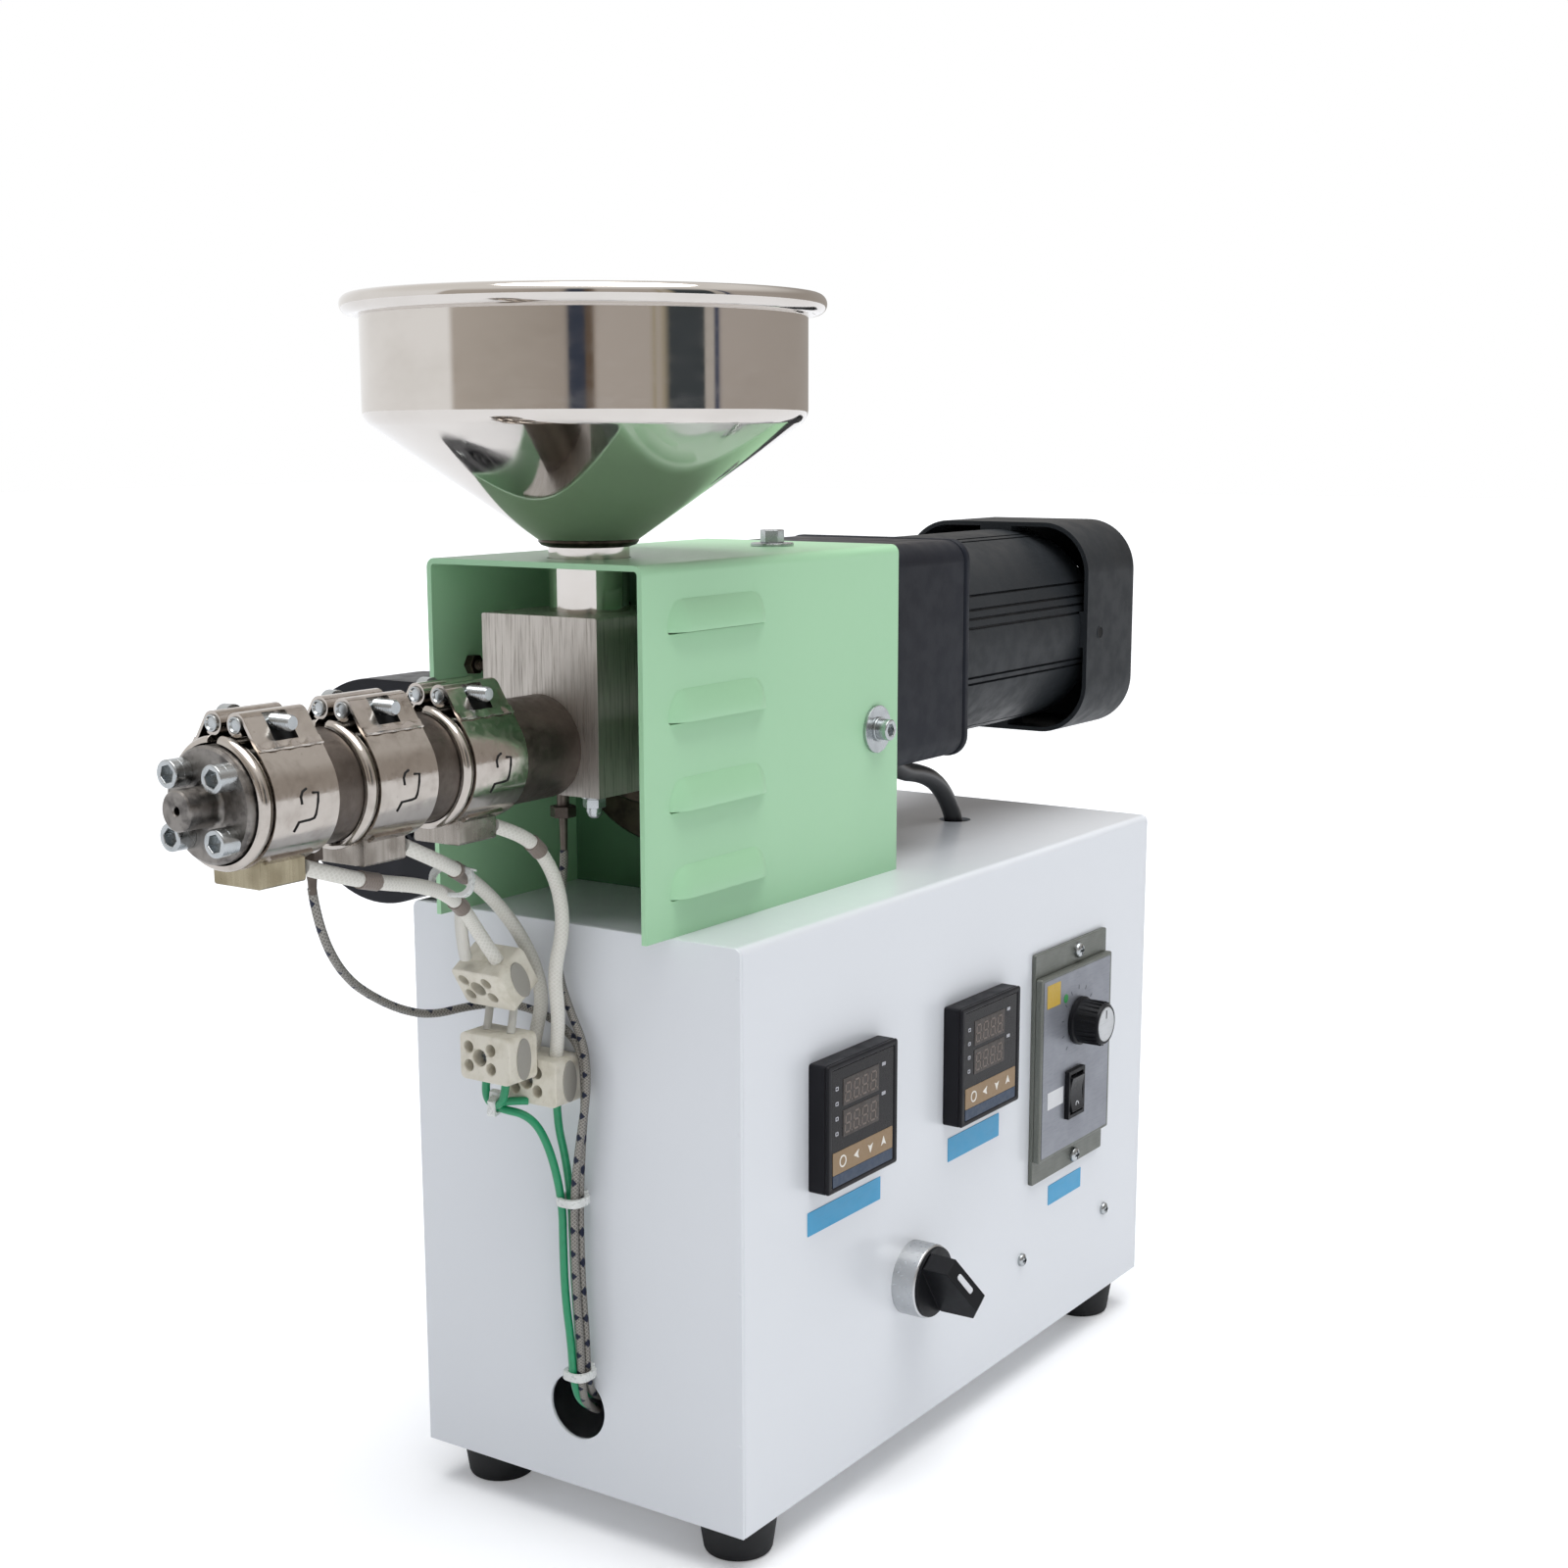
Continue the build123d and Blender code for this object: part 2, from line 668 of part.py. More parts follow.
y_face = y_panel - plate_thick - face_rise
x_plate = x_end + plate_edge + plate_width / 2
rocker_place = (x_end + rocker_x, z_cab + rocker_z)
with BuildPart() as speed_plate:
    with BuildSketch(Plane.XZ.offset(-y_panel)):
        with Locations((x_plate, z_cab + plate_low + plate_height / 2)):
            RectangleRounded(plate_width, plate_height, slip)
    extrude(amount=plate_thick)
    with BuildSketch(Plane.XZ.offset(plate_thick - y_panel)):
        with Locations((x_plate, z_cab + face_low + face_height / 2)):
            RectangleRounded(plate_width, face_height, slip)
    extrude(amount=face_rise)
    with BuildSketch(Plane.XZ.offset(-y_panel)):
        with Locations(rocker_place):
            Rectangle(rocker_width, rocker_height)
    extrude(amount=plate_thick + face_rise, mode=Mode.SUBTRACT)
    with BuildSketch(Plane.XZ.offset(-y_face)):
        with Locations((x_end + knob_x, z_cab + knob_z)):
            Circle(shaft_dia / 2)
    extrude(amount=knob_length / 2)
save(speed_plate, "speed_plate")

with BuildPart() as speed_knob:
    with BuildSketch(Plane.XZ.offset(slip / 2 - y_face)):
        with Locations((x_end + knob_x, z_cab + knob_z)):
            Circle(knob_base_dia / 2)
    with BuildSketch(Plane.XZ.offset(knob_length - y_face)):
        with Locations((x_end + knob_x, z_cab + knob_z)):
            Circle(knob_tip_dia / 2)
    loft()
    fillet(speed_knob.edges().group_by(Axis.Y)[0], slip)
    with BuildSketch(Plane.XZ.offset(-y_face)):
        with Locations((x_end + knob_x, z_cab + knob_z)):
            Circle(shaft_dia / 2 + running)
    extrude(amount=knob_length / 2 + slip, mode=Mode.SUBTRACT)
save(speed_knob, "speed_knob")

with BuildPart() as rocker_frame:
    with BuildSketch(Plane.XZ.offset(-y_panel)):
        with Locations(rocker_place):
            Rectangle(rocker_width, rocker_height)
            Rectangle(rocker_width - 2 * rocker_rim, rocker_height - 2 * rocker_rim, mode=Mode.SUBTRACT)
    extrude(amount=plate_thick + face_rise + rocker_proud)
    with BuildSketch(Plane.YZ.offset(rocker_place[0])):
        with Locations((y_face, rocker_place[1])):
            Circle(rocker_pin / 2 + running)
    extrude(amount=rocker_width / 2, both=True, mode=Mode.SUBTRACT)
save(rocker_frame, "rocker_frame")

rocker_half = rocker_height / 2 - rocker_rim - 2 * fit
rocker_short = rocker_half * 0.9
rocker_crest = rocker_proud + rocker_rise / 2
rocker_inner = rocker_width - 2 * rocker_rim - 2 * fit
with BuildPart() as rocker:
    with BuildSketch(across(rocker_place[0] - rocker_inner / 2, y_face, rocker_place[1])):
        with BuildLine():
            ThreePointArc(
                (-rocker_crest, -rocker_short),
                (rocker_dip - rocker_crest, 0),
                (-rocker_crest, rocker_short),
            )
            Polyline(
                (-rocker_crest, rocker_short),
                (0, rocker_half),
                (rocker_keel, rocker_short),
                (rocker_keel, -rocker_short),
                (0, -rocker_half),
                (-rocker_crest, -rocker_short),
            )
        make_face()
    extrude(amount=rocker_inner)
    with BuildSketch(across(rocker_place[0], y_face, rocker_place[1])):
        Circle(rocker_pin / 2)
    extrude(amount=rocker_width / 2, both=True)
save(rocker, "rocker")

selector_place = (x_end + selector_x, z_cab + selector_z)
with BuildPart() as selector_bezel:
    with BuildSketch(Plane.XZ.offset(-y_panel)):
        with Locations(selector_place):
            Circle(selector_dia / 2)
    extrude(amount=selector_depth)
    fillet(selector_bezel.edges().group_by(Axis.Y)[0], fit)
    with BuildSketch(Plane.XZ.offset(selector_depth - y_panel)):
        with Locations(selector_place):
            Circle(handle_dia / 2 + fit)
    extrude(amount=-selector_pocket, mode=Mode.SUBTRACT)
    with BuildSketch(Plane.XZ.offset(selector_depth - y_panel)):
        with Locations(selector_place):
            Circle(spindle_dia / 2 + running)
    extrude(amount=-selector_depth + slip, mode=Mode.SUBTRACT)
save(selector_bezel, "selector_bezel")

with BuildPart() as selector_handle:
    with BuildSketch(Plane.XZ.offset(handle_face - y_panel)):
        with Locations(selector_place):
            Circle(handle_dia / 2)
    extrude(amount=-handle_disc)
    with BuildSketch(Plane.XZ.offset(handle_face - y_panel)):
        with Locations(selector_place):
            Circle(spindle_dia / 2)
    extrude(amount=-handle_face + 2 * slip)
    bar_plane = Plane(
        origin=(selector_place[0], y_panel - handle_face, selector_place[1]),
        x_dir=(cos(radians(handle_angle)), 0, sin(radians(handle_angle))),
        z_dir=(sin(radians(handle_angle)), 0, -cos(radians(handle_angle))),
    )
    with BuildSketch(bar_plane) as bar_side:
        with BuildLine():
            Polyline(
                (-handle_dia / 2 + slip / 2, 0),
                (-handle_dia / 2 + slip, handle_low),
                (handle_crest, handle_rise),
                (handle_dia / 2 - slip, handle_tip),
                (handle_dia / 2 - slip / 2, 0),
                close=True,
            )
        make_face()
        fillet(bar_side.vertices().group_by(Axis.Y)[0], slip)
    extrude(amount=handle_bar / 2, both=True)
save(selector_handle, "selector_handle")

# Ceramic terminal blocks that hang on the leads
def spot(x, y, z):
    """Point given from the cabinet's lower front corner on the panel side."""
    return Vector(x_end + x, y_panel + y, z_cab + z)


for number, (place, tilt) in enumerate(zip(ceramic_places, ceramic_tilts), 1):
    local = Plane(spot(*place)).rotated((0, tilt, 0))
    with BuildPart(local) as ceramic_block:
        Box(ceramic_depth, ceramic_width, ceramic_height)
        fillet(ceramic_block.edges(), ceramic_corner)
        front = local.origin - local.x_dir * ceramic_depth / 2
        with BuildSketch(Plane(front, x_dir=local.y_dir, z_dir=local.x_dir)):
            with Locations(*ceramic_holes):
                Circle(wire_hole_dia / 2)
            with Locations((fixing_shift, 0)):
                Circle(fixing_hole_dia / 2)
        extrude(amount=ceramic_hole_depth, mode=Mode.SUBTRACT)
    save(ceramic_block, f"ceramic_block_{number}")

# Cables and leads: each route lists its points from the cabinet's lower front corner
lead_dia = 5.0
wire_dia = 3.0
motor_cable_dia = 8.0
routes = {
    "lead_1": (lead_dia, [
        (-132.5, 68.5, 257.3), (-117.0, 69.5, 252.0), (-97.0, 72.4, 246.2), (-74.0, 76.8, 241.0),
        (-55.0, 82.5, 234.6), (-41.5, 86.5, 226.5), (-33.5, 86.8, 216.0), (-26.6, 84.8, 205.2),
    ]),
    "lead_2": (lead_dia, [
        (-89.0, 68.5, 257.3), (-73.5, 70.5, 250.5), (-56.0, 77.0, 243.5), (-36.0, 84.5, 234.0),
        (-20.5, 88.8, 223.5), (-10.5, 88.0, 211.5), (-6.3, 84.0, 198.5), (-5.8, 82.2, 186.5),
        (-7.3, 84.0, 176.0), (-8.2, 85.5, 167.0),
    ]),
    "lead_3": (lead_dia, [
        (-45.3, 68.5, 257.3), (-33.0, 68.0, 253.0), (-20.0, 69.5, 245.0), (-12.0, 68.5, 231.5),
        (-11.5, 67.0, 216.0), (-12.8, 70.8, 200.5), (-10.5, 71.0, 185.0), (-8.4, 73.6, 172.5),
        (-8.2, 74.5, 167.0),
    ]),
    "link_1": (wire_dia, [(-18.2, 84.5, 192.0), (-19.5, 83.8, 185.5), (-23.7, 82.1, 178.3)]),
    "link_2": (wire_dia, [(-18.2, 95.5, 192.0), (-19.5, 94.8, 185.5), (-23.7, 93.1, 178.3)]),
    "wire_1": (wire_dia, [
        (-23.9, 93.1, 162.5), (-24.2, 94.5, 153.5), (-20.5, 91.0, 144.5), (-14.0, 82.5, 139.0),
        (-10.0, 75.0, 129.0), (-8.5, 71.6, 114.0), (-8.3, 71.0, 96.0), (-8.1, 70.6, 78.0),
        (-8.2, 69.2, 62.0), (-8.0, 69.3, 46.0), (-4.4, 70.6, 35.5), (4.5, 72.5, 30.5),
    ]),
    "wire_2": (wire_dia, [
        (-8.2, 74.5, 152.0), (-8.0, 74.6, 143.0), (-6.0, 72.8, 130.0), (-5.0, 71.4, 114.0),
        (-4.9, 71.0, 96.0), (-4.7, 70.6, 78.0), (-4.8, 69.2, 62.0), (-4.5, 69.4, 48.0),
        (-0.8, 70.6, 38.5), (7.5, 72.3, 34.5),
    ]),
    "sensor_1": (wire_dia, [
        (-121.2, 76.8, 239.0), (-119.5, 77.5, 232.5), (-108.0, 83.0, 222.0), (-92.0, 91.0, 210.5),
        (-75.0, 97.5, 200.5), (-57.0, 102.0, 191.5), (-38.0, 105.8, 185.0), (-19.5, 105.3, 184.4),
        (-6.5, 99.5, 183.8), (-2.4, 88.5, 181.8), (-2.5, 76.5, 178.2), (-3.6, 66.6, 171.3),
        (-4.8, 64.0, 156.0), (-5.0, 65.8, 138.0), (-4.9, 67.4, 118.0), (-4.9, 67.6, 98.0),
        (-4.7, 67.2, 79.0), (-4.8, 65.8, 62.5), (-4.5, 66.0, 48.0), (-0.8, 67.0, 38.5),
        (7.5, 68.6, 34.5),
    ]),
    "sensor_2": (wire_dia, [
        (1.0, 76.5, 241.0), (0.0, 76.0, 233.0), (-4.5, 74.2, 222.5), (-6.0, 74.4, 209.5),
        (-4.6, 75.4, 196.0), (-4.4, 70.5, 184.0), (-5.2, 63.5, 172.5), (-7.0, 61.4, 157.0),
        (-8.4, 64.0, 139.0), (-8.4, 67.2, 119.0), (-8.3, 67.6, 98.0), (-8.1, 67.2, 79.0),
        (-8.2, 65.8, 62.5), (-8.0, 65.9, 46.0), (-4.4, 67.0, 35.5), (4.5, 68.6, 30.5),
    ]),
    "motor_cable": (motor_cable_dia, [
        (187.0, 58.0, 253.2), (203.0, 60.0, 244.9), (223.4, 62.8, 241.7), (242.5, 65.3, 235.8),
        (256.1, 66.6, 225.6), (264.3, 67.0, 213.0), (267.9, 67.3, 199.5),
    ]),
}


def corner_radii(points):
    """Radius for each corner of a route: as large as its two runs allow."""
    radii = []
    for before, corner, after in zip(points, points[1:], points[2:]):
        run_in = corner - before
        run_out = after - corner
        half_turn = radians(run_in.get_angle(run_out)) / 2
        radii.append(0.45 * min(run_in.length, run_out.length) / tan(half_turn))
    return radii


for name, (dia, places) in routes.items():
    points = [spot(*place) for place in places]
    radii = corner_radii(points)
    with BuildPart() as cable:
        with BuildLine() as path:
            FilletPolyline(*points, radius=radii)
        with BuildSketch(Plane(origin=path.line @ 0, z_dir=path.line % 0)):
            Circle(dia / 2)
        sweep()
    save(cable, name)
    length = path.wire().length
    share = cable.part.volume / (pi * dia**2 / 4 * length)
    smallest = min(radii) / dia
    print(f"{name}: length {length:.0f}, volume share {share:.3f}, tightest {smallest:.1f} diameters")
    print("  radii", [round(radius) for radius in radii])
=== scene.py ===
"""Looks of a tabletop single screw extruder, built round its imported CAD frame.

Meshes are made in millimetres, in the frame of the CAD model, and show() turns them to metres.
"""
from math import acos, atan2, cos, pi, radians, sin, sqrt, tan

import bmesh
import bpy
from mathutils import Matrix, Vector


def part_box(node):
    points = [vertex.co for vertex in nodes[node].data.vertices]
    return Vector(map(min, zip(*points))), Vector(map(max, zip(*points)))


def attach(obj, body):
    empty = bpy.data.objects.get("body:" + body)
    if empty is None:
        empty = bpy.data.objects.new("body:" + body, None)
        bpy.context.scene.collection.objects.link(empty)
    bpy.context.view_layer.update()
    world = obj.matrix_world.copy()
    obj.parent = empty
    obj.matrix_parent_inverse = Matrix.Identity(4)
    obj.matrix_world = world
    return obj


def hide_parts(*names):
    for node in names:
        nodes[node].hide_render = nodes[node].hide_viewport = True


bl_info = {
    "name": "Single screw extruder",
    "version": (1, 0, 0),
    "blender": (4, 5, 0),
    "location": "View3D > Sidebar > Extruder",
    "description": "Dresses the CAD frame of a tabletop single screw extruder",
    "category": "Object",
}

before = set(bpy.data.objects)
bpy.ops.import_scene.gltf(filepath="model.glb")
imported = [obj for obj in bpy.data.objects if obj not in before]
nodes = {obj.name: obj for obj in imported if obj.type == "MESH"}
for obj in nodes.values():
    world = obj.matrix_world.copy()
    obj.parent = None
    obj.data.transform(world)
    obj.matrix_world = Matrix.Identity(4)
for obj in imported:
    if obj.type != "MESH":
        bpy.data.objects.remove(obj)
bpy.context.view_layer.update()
scene = bpy.context.scene
mm = 0.001


def span(node):
    """Lowest and highest corner of a CAD node, in millimetres."""
    low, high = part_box(node)
    return low / mm, high / mm


def middle_of(node):
    """Middle of a CAD node's box, in millimetres."""
    low, high = span(node)
    return (low + high) / 2


def seat_of(node):
    """Middle of the side that a CAD node on the panel stands on, in millimetres."""
    low, high = span(node)
    return Vector(((low.x + high.x) / 2, high.y, (low.z + high.z) / 2))


# Places read from the frame, in millimetres
panel_y = span("cabinet_cover")[0].y
front_x = span("cabinet_front_end")[0].x
cabinet_bottom = span("cabinet_cover")[0].z
cabinet_top = span("cabinet_cover")[1].z
axis_y = middle_of("barrel").y
axis_z = middle_of("barrel").z
motor_z = middle_of("motor_body").z
throat_x = middle_of("hopper").x
along_x, along_y, upward = Vector((1, 0, 0)), Vector((0, 1, 0)), Vector((0, 0, 1))
out = Vector((0, -1, 0))  # away from the panel


def spot(x, y, z):
    """Point given from the cabinet's lower front corner on the panel side, as in the part's source."""
    return Vector((front_x + x, panel_y + y, cabinet_bottom + z))


def on_axis(x):
    """Point on the screw's axis."""
    return Vector((x, axis_y, axis_z))


# Colours and sizes that the panel offers
def rgb(code):
    """Linear colour from an sRGB hex code."""
    parts = [int(code[at:at + 2], 16) / 255 for at in (1, 3, 5)]
    return (*[part / 12.92 if part <= 0.04045 else ((part + 0.055) / 1.055) ** 2.4 for part in parts], 1.0)


def colour_setting(name, description, code):
    """Colour that the panel offers, given as a hex code."""
    return bpy.props.FloatVectorProperty(
        name=name, description=description, subtype="COLOR", size=4, min=0, max=1, default=rgb(code))


def length_setting(name, description, size):
    """Length that the panel offers, given in millimetres."""
    return bpy.props.FloatProperty(
        name=name, description=description, unit="LENGTH", min=0, default=size * mm)


class ExtruderColours(bpy.types.PropertyGroup):
    """Colours of the painted and moulded pieces."""
    cabinet: colour_setting("Cabinet", "Powder coat of the cabinet", "#E1E4E8")
    guard: colour_setting("Guard", "Powder coat of the guard", "#A9D8AE")
    gearbox: colour_setting("Gearbox", "Enamel of the gearbox", "#1E2129")
    motor: colour_setting("Motor", "Enamel of the motor", "#2B2E31")
    labels: colour_setting("Labels", "Vinyl of the three bare labels", "#2F9DCD")
    wires: colour_setting("Wires", "Insulation of the green wires", "#1C9162")


class ExtruderSizes(bpy.types.PropertyGroup):
    """Sizes of the fittings that are added to the frame."""
    die_screw: length_setting("Die screw head", "Diameter of a socket screw's head on the die", 8.6)
    die_circle: length_setting("Die screw circle", "Diameter of the circle of the die screws", 26.6)
    panel_screw: length_setting("Panel screw head", "Diameter of a panel screw's head", 5.6)
    washer: length_setting("Guard washer", "Diameter of the washer under the guard's side screw", 18.5)


# Nodes and materials
wave_repeat = 0.314159  # distance after which the wave texture repeats at a scale of 1


def add_node(tree, kind, settings=None, inputs=None):
    """One new node with its settings, and its inputs given as values or as other nodes' outputs."""
    made = tree.nodes.new(kind)
    for name, value in (settings or {}).items():
        setattr(made, name, value)
    for name, value in (inputs or {}).items():
        if isinstance(value, bpy.types.NodeSocket):
            tree.links.new(value, made.inputs[name])
        else:
            made.inputs[name].default_value = value
    return made


def maths(tree, operation, *values):
    """Result of one operation on up to three values."""
    return add_node(tree, "ShaderNodeMath", {"operation": operation}, dict(enumerate(values))).outputs[0]


class Finish:
    """A material under work: one Principled shader, to which patterns in real millimetres are added."""

    def __init__(self, name, colour, roughness, metallic=0.0, coords="Object", **sockets):
        self.material = bpy.data.materials.new(name)
        self.material.use_nodes = True
        self.tree = self.material.node_tree
        self.shader = self.tree.nodes["Principled BSDF"]
        self.colour = rgb(colour) if isinstance(colour, str) else tuple(colour)
        self.base = self.colour
        self.normal = None
        sockets.update(Base_Color=self.colour, Roughness=roughness, Metallic=metallic)
        for socket, value in sockets.items():
            self.shader.inputs[socket.replace("_", " ")].default_value = value
        self.source = add_node(self.tree, "ShaderNodeTexCoord").outputs[coords]

    def stretched(self, stretch):
        """Coordinates stretched per axis, for grain that runs along one way."""
        if stretch == (1, 1, 1):
            return self.source
        return add_node(self.tree, "ShaderNodeMapping", {}, {
            "Vector": self.source, "Scale": stretch}).outputs[0]

    def noise(self, size, stretch=(1, 1, 1), detail=3.0, rough=0.55):
        """Noise whose grains are about size millimetres wide, before the stretch."""
        return add_node(self.tree, "ShaderNodeTexNoise", {}, {
            "Vector": self.stretched(stretch), "Scale": 1 / (size * mm), "Detail": detail,
            "Roughness": rough}).outputs[0]

    def ridges(self, pitch, direction="X", bend=0.0):
        """Ridges across one axis, pitch millimetres apart."""
        return add_node(self.tree, "ShaderNodeTexWave", {"bands_direction": direction}, {
            "Vector": self.source, "Scale": wave_repeat / (pitch * mm), "Distortion": bend}).outputs["Fac"]

    def spots(self, size, stretch=(1, 1, 1)):
        """Distance to scattered points about size millimetres apart."""
        return add_node(self.tree, "ShaderNodeTexVoronoi", {}, {
            "Vector": self.stretched(stretch), "Scale": 1 / (size * mm)}).outputs["Distance"]

    def fade(self, value, start, end, low=0.0, high=1.0):
        """A value taken from the range start to end, to the range low to high."""
        return add_node(self.tree, "ShaderNodeMapRange", {"interpolation_type": "SMOOTHSTEP"}, {
            "Value": value, "From Min": start, "From Max": end, "To Min": low, "To Max": high}).outputs[0]

    def tint(self, factor, colour):
        """Mixes another colour into the base by a factor."""
        mix = add_node(self.tree, "ShaderNodeMix", {"data_type": "RGBA"}, {
            "Factor": factor, 6: self.base, 7: rgb(colour)})
        self.base = mix.outputs[2]
        self.tree.links.new(self.base, self.shader.inputs["Base Color"])
        return self

    def patches(self, colour, start, end, most, size, *stretch, **noise):
        """Mixes another colour in where noise of a size runs from start to end, at most by a share."""
        return self.tint(self.fade(self.noise(size, *stretch, **noise), start, end, 0.0, most), colour)

    def rub(self, value, low, high):
        """Lets the roughness follow a value between low and high."""
        self.tree.links.new(self.fade(value, 0.3, 0.7, low, high), self.shader.inputs["Roughness"])
        return self

    def bump(self, value, height):
        """Raises the surface by a value, height millimetres from its low to its high."""
        inputs = {"Height": value, "Distance": height * mm}
        if self.normal is not None:
            inputs["Normal"] = self.normal
        self.normal = add_node(self.tree, "ShaderNodeBump", {}, inputs).outputs[0]
        self.tree.links.new(self.normal, self.shader.inputs["Normal"])
        return self


def white_powder_coat():
    """Powder coat on sheet steel: glossy cool white, whose fine orange peel softens its reflections."""
    made = Finish("white_powder_coat", scene.extruder_colours.cabinet, 0.3,
                  Coat_Weight=0.2, Coat_Roughness=0.15)
    made.bump(made.noise(3.5, detail=0.0), 0.005)
    made.patches("#D6D9DE", 0.1, 0.9, 0.25, 150, detail=0)
    return made.rub(made.noise(5, detail=0), 0.28, 0.32).material


def mint_powder_coat():
    """Powder coat in mint green: satin, with a slightly coarser peel than the cabinet's."""
    made = Finish("mint_powder_coat", scene.extruder_colours.guard, 0.38,
                  Coat_Weight=0.12, Coat_Roughness=0.25)
    made.bump(made.noise(1.3, detail=1.5), 0.016)
    made.patches("#96C79D", 0.15, 0.9, 0.3, 90, detail=1)
    return made.rub(made.noise(4), 0.35, 0.42).material


def shaded_mint_coat():
    """Mint coat darkened as painted shade for the guard's inner faces and the wall inside it, with darker
    patches.
    """
    made = Finish("shaded_mint_coat", "#4F7A56", 0.5)
    made.bump(made.noise(1.3, detail=1.5), 0.016)
    return made.patches("#436B4A", 0.2, 0.8, 1.0, 30, detail=1).material


def moulded_rubber():
    """Moulded black rubber: matte, with a bloom of grey dust."""
    made = Finish("moulded_rubber", "#151618", 0.7)
    made.bump(made.noise(0.5), 0.03)
    return made.patches("#303237", 0.5, 0.8, 0.3, 6).material


def heat_browned_steel():
    """Turned steel that heat has browned: dark and satin, with fine turning marks round it and blotches."""
    made = Finish("heat_browned_steel", "#68605A", 0.44, 1.0)
    made.patches("#544D48", 0.35, 0.75, 1.0, 14, detail=4)
    made.patches("#7C736C", 0.5, 0.8, 0.3, 1.1, (6, 1, 1))
    made.bump(made.ridges(0.5, "X", 0.4), 0.004)
    made.bump(made.noise(0.7), 0.008)
    return made.rub(made.noise(3), 0.36, 0.55).material


def machined_die_steel():
    """Machined steel, blued by heat: paler than the barrel, with clouded patches."""
    made = Finish("machined_die_steel", "#8A8682", 0.36, 1.0)
    made.patches("#5C5957", 0.42, 0.7, 1.0, 5, detail=5)
    made.bump(made.noise(0.5), 0.008)
    return made.rub(made.noise(2), 0.28, 0.46).material


def ground_steel():
    """Ground steel block: upright grinding grain, pale with dark streaks where oil has stained it."""
    made = Finish("ground_steel", "#BDB8B2", 0.42, 1.0)
    grain = made.noise(0.9, (1, 1, 0.035), detail=4, rough=0.7)
    made.tint(made.fade(grain, 0.45, 0.75), "#8F8A83")
    made.patches("#645F59", 0.62, 0.8, 0.7, 3.0, (1, 1, 0.06))
    made.bump(grain, 0.012)
    return made.rub(grain, 0.34, 0.54).material


def spun_stainless():
    """Spun and polished stainless steel: a warm mirror with hairline polishing marks and soft smudges."""
    made = Finish("spun_stainless", "#D6D1CC", 0.09, 1.0)
    made.patches("#C2BCB5", 0.4, 0.8, 0.4, 35, (1, 1, 2.0))
    made.bump(made.noise(0.8, (0.15, 0.15, 3.0), detail=4), 0.0006)
    return made.rub(made.noise(14, (1, 1, 3.0)), 0.04, 0.1).material


def rolled_stainless():
    """Bright rolled stainless sheet of the heater bands: near-mirror, warm, with scuffs and small pits."""
    made = Finish("rolled_stainless", "#BDB6AF", 0.13, 1.0)
    made.patches("#999088", 0.45, 0.8, 0.6, 7)
    made.tint(made.fade(made.spots(3.5), 0.0, 0.1, 0.6, 0.0), "#5E564F")
    made.bump(made.noise(3.0), 0.01)
    return made.rub(made.noise(2.2), 0.1, 0.22).material


def bright_zinc():
    """Bright zinc plating: pale bluish silver with a soft shine and slightly cloudy patches."""
    made = Finish("bright_zinc", "#B7BBBD", 0.24, 1.0)
    made.patches("#959A9C", 0.3, 0.9, 0.5, 5.0, detail=1)
    made.bump(made.noise(3.0, detail=0), 0.004)
    return made.rub(made.noise(4.0, detail=0), 0.22, 0.3).material


def satin_nickel():
    """Satin nickel plating of the selector's bezel: pale, with a fine even grain."""
    made = Finish("satin_nickel", "#C4C6C8", 0.3, 1.0)
    made.bump(made.noise(0.7), 0.008)
    return made.rub(made.noise(1.5), 0.26, 0.42).material


def brushed_box(name, colour, stain):
    """Brushed sheet of a terminal box: satin, with upright grain."""
    made = Finish(name, colour, 0.3, 1.0)
    grain = made.noise(1.2, (1, 1, 0.05), detail=2)
    made.tint(made.fade(grain, 0.3, 0.9, 0.0, 0.5), stain)
    made.patches(stain, 0.4, 0.7, 0.6, 9, detail=1)
    made.bump(grain, 0.002)
    return made.rub(made.noise(6), 0.22, 0.34).material


def oiled_steel():
    """Oiled dark steel of the bearing flange: brown, with drying edges."""
    made = Finish("oiled_steel", "#4E453D", 0.42, 1.0)
    made.patches("#332D29", 0.4, 0.7, 1.0, 8)
    made.bump(made.noise(0.6), 0.008)
    return made.rub(made.noise(4), 0.3, 0.52).material


def sprayed_enamel(name, colour, shade, gloss):
    """Enamel sprayed on cast metal: semi-gloss, with a soft peel over the casting's grain."""
    made = Finish(name, colour, gloss, Specular_IOR_Level=0.13)
    made.patches(shade, 0.3, 0.8, 1.0, 60, detail=1)
    made.bump(made.noise(1.2, detail=2), 0.02)
    return made.rub(made.noise(8), gloss - 0.06, gloss + 0.08).material


def moulded_plastic(name, colour, shade, gloss):
    """Injection-moulded plastic with a fine spark-eroded grain."""
    made = Finish(name, colour, gloss, Specular_IOR_Level=0.16)
    made.patches(shade, 0.35, 0.85, 0.6, 12)
    made.bump(made.noise(0.35), 0.008)
    return made.rub(made.noise(6), gloss - 0.05, gloss + 0.07).material


def anodised_plate(name, colour, shade):
    """Satin anodised plate: fine sideways grain with a soft metal shine."""
    made = Finish(name, colour, 0.42, 0.5)
    grain = made.noise(0.6, (0.12, 1, 1))
    made.tint(made.fade(grain, 0.4, 0.8, 0.0, 0.6), shade)
    made.bump(grain, 0.004)
    return made.rub(made.noise(9), 0.36, 0.5).material


def printed_ink(name, colour):
    """Screen-printed ink: flat and slightly uneven where it is thin."""
    made = Finish(name, colour, 0.5)
    made.bump(made.noise(0.3), 0.003)
    return made.rub(made.noise(1.5), 0.42, 0.58).material


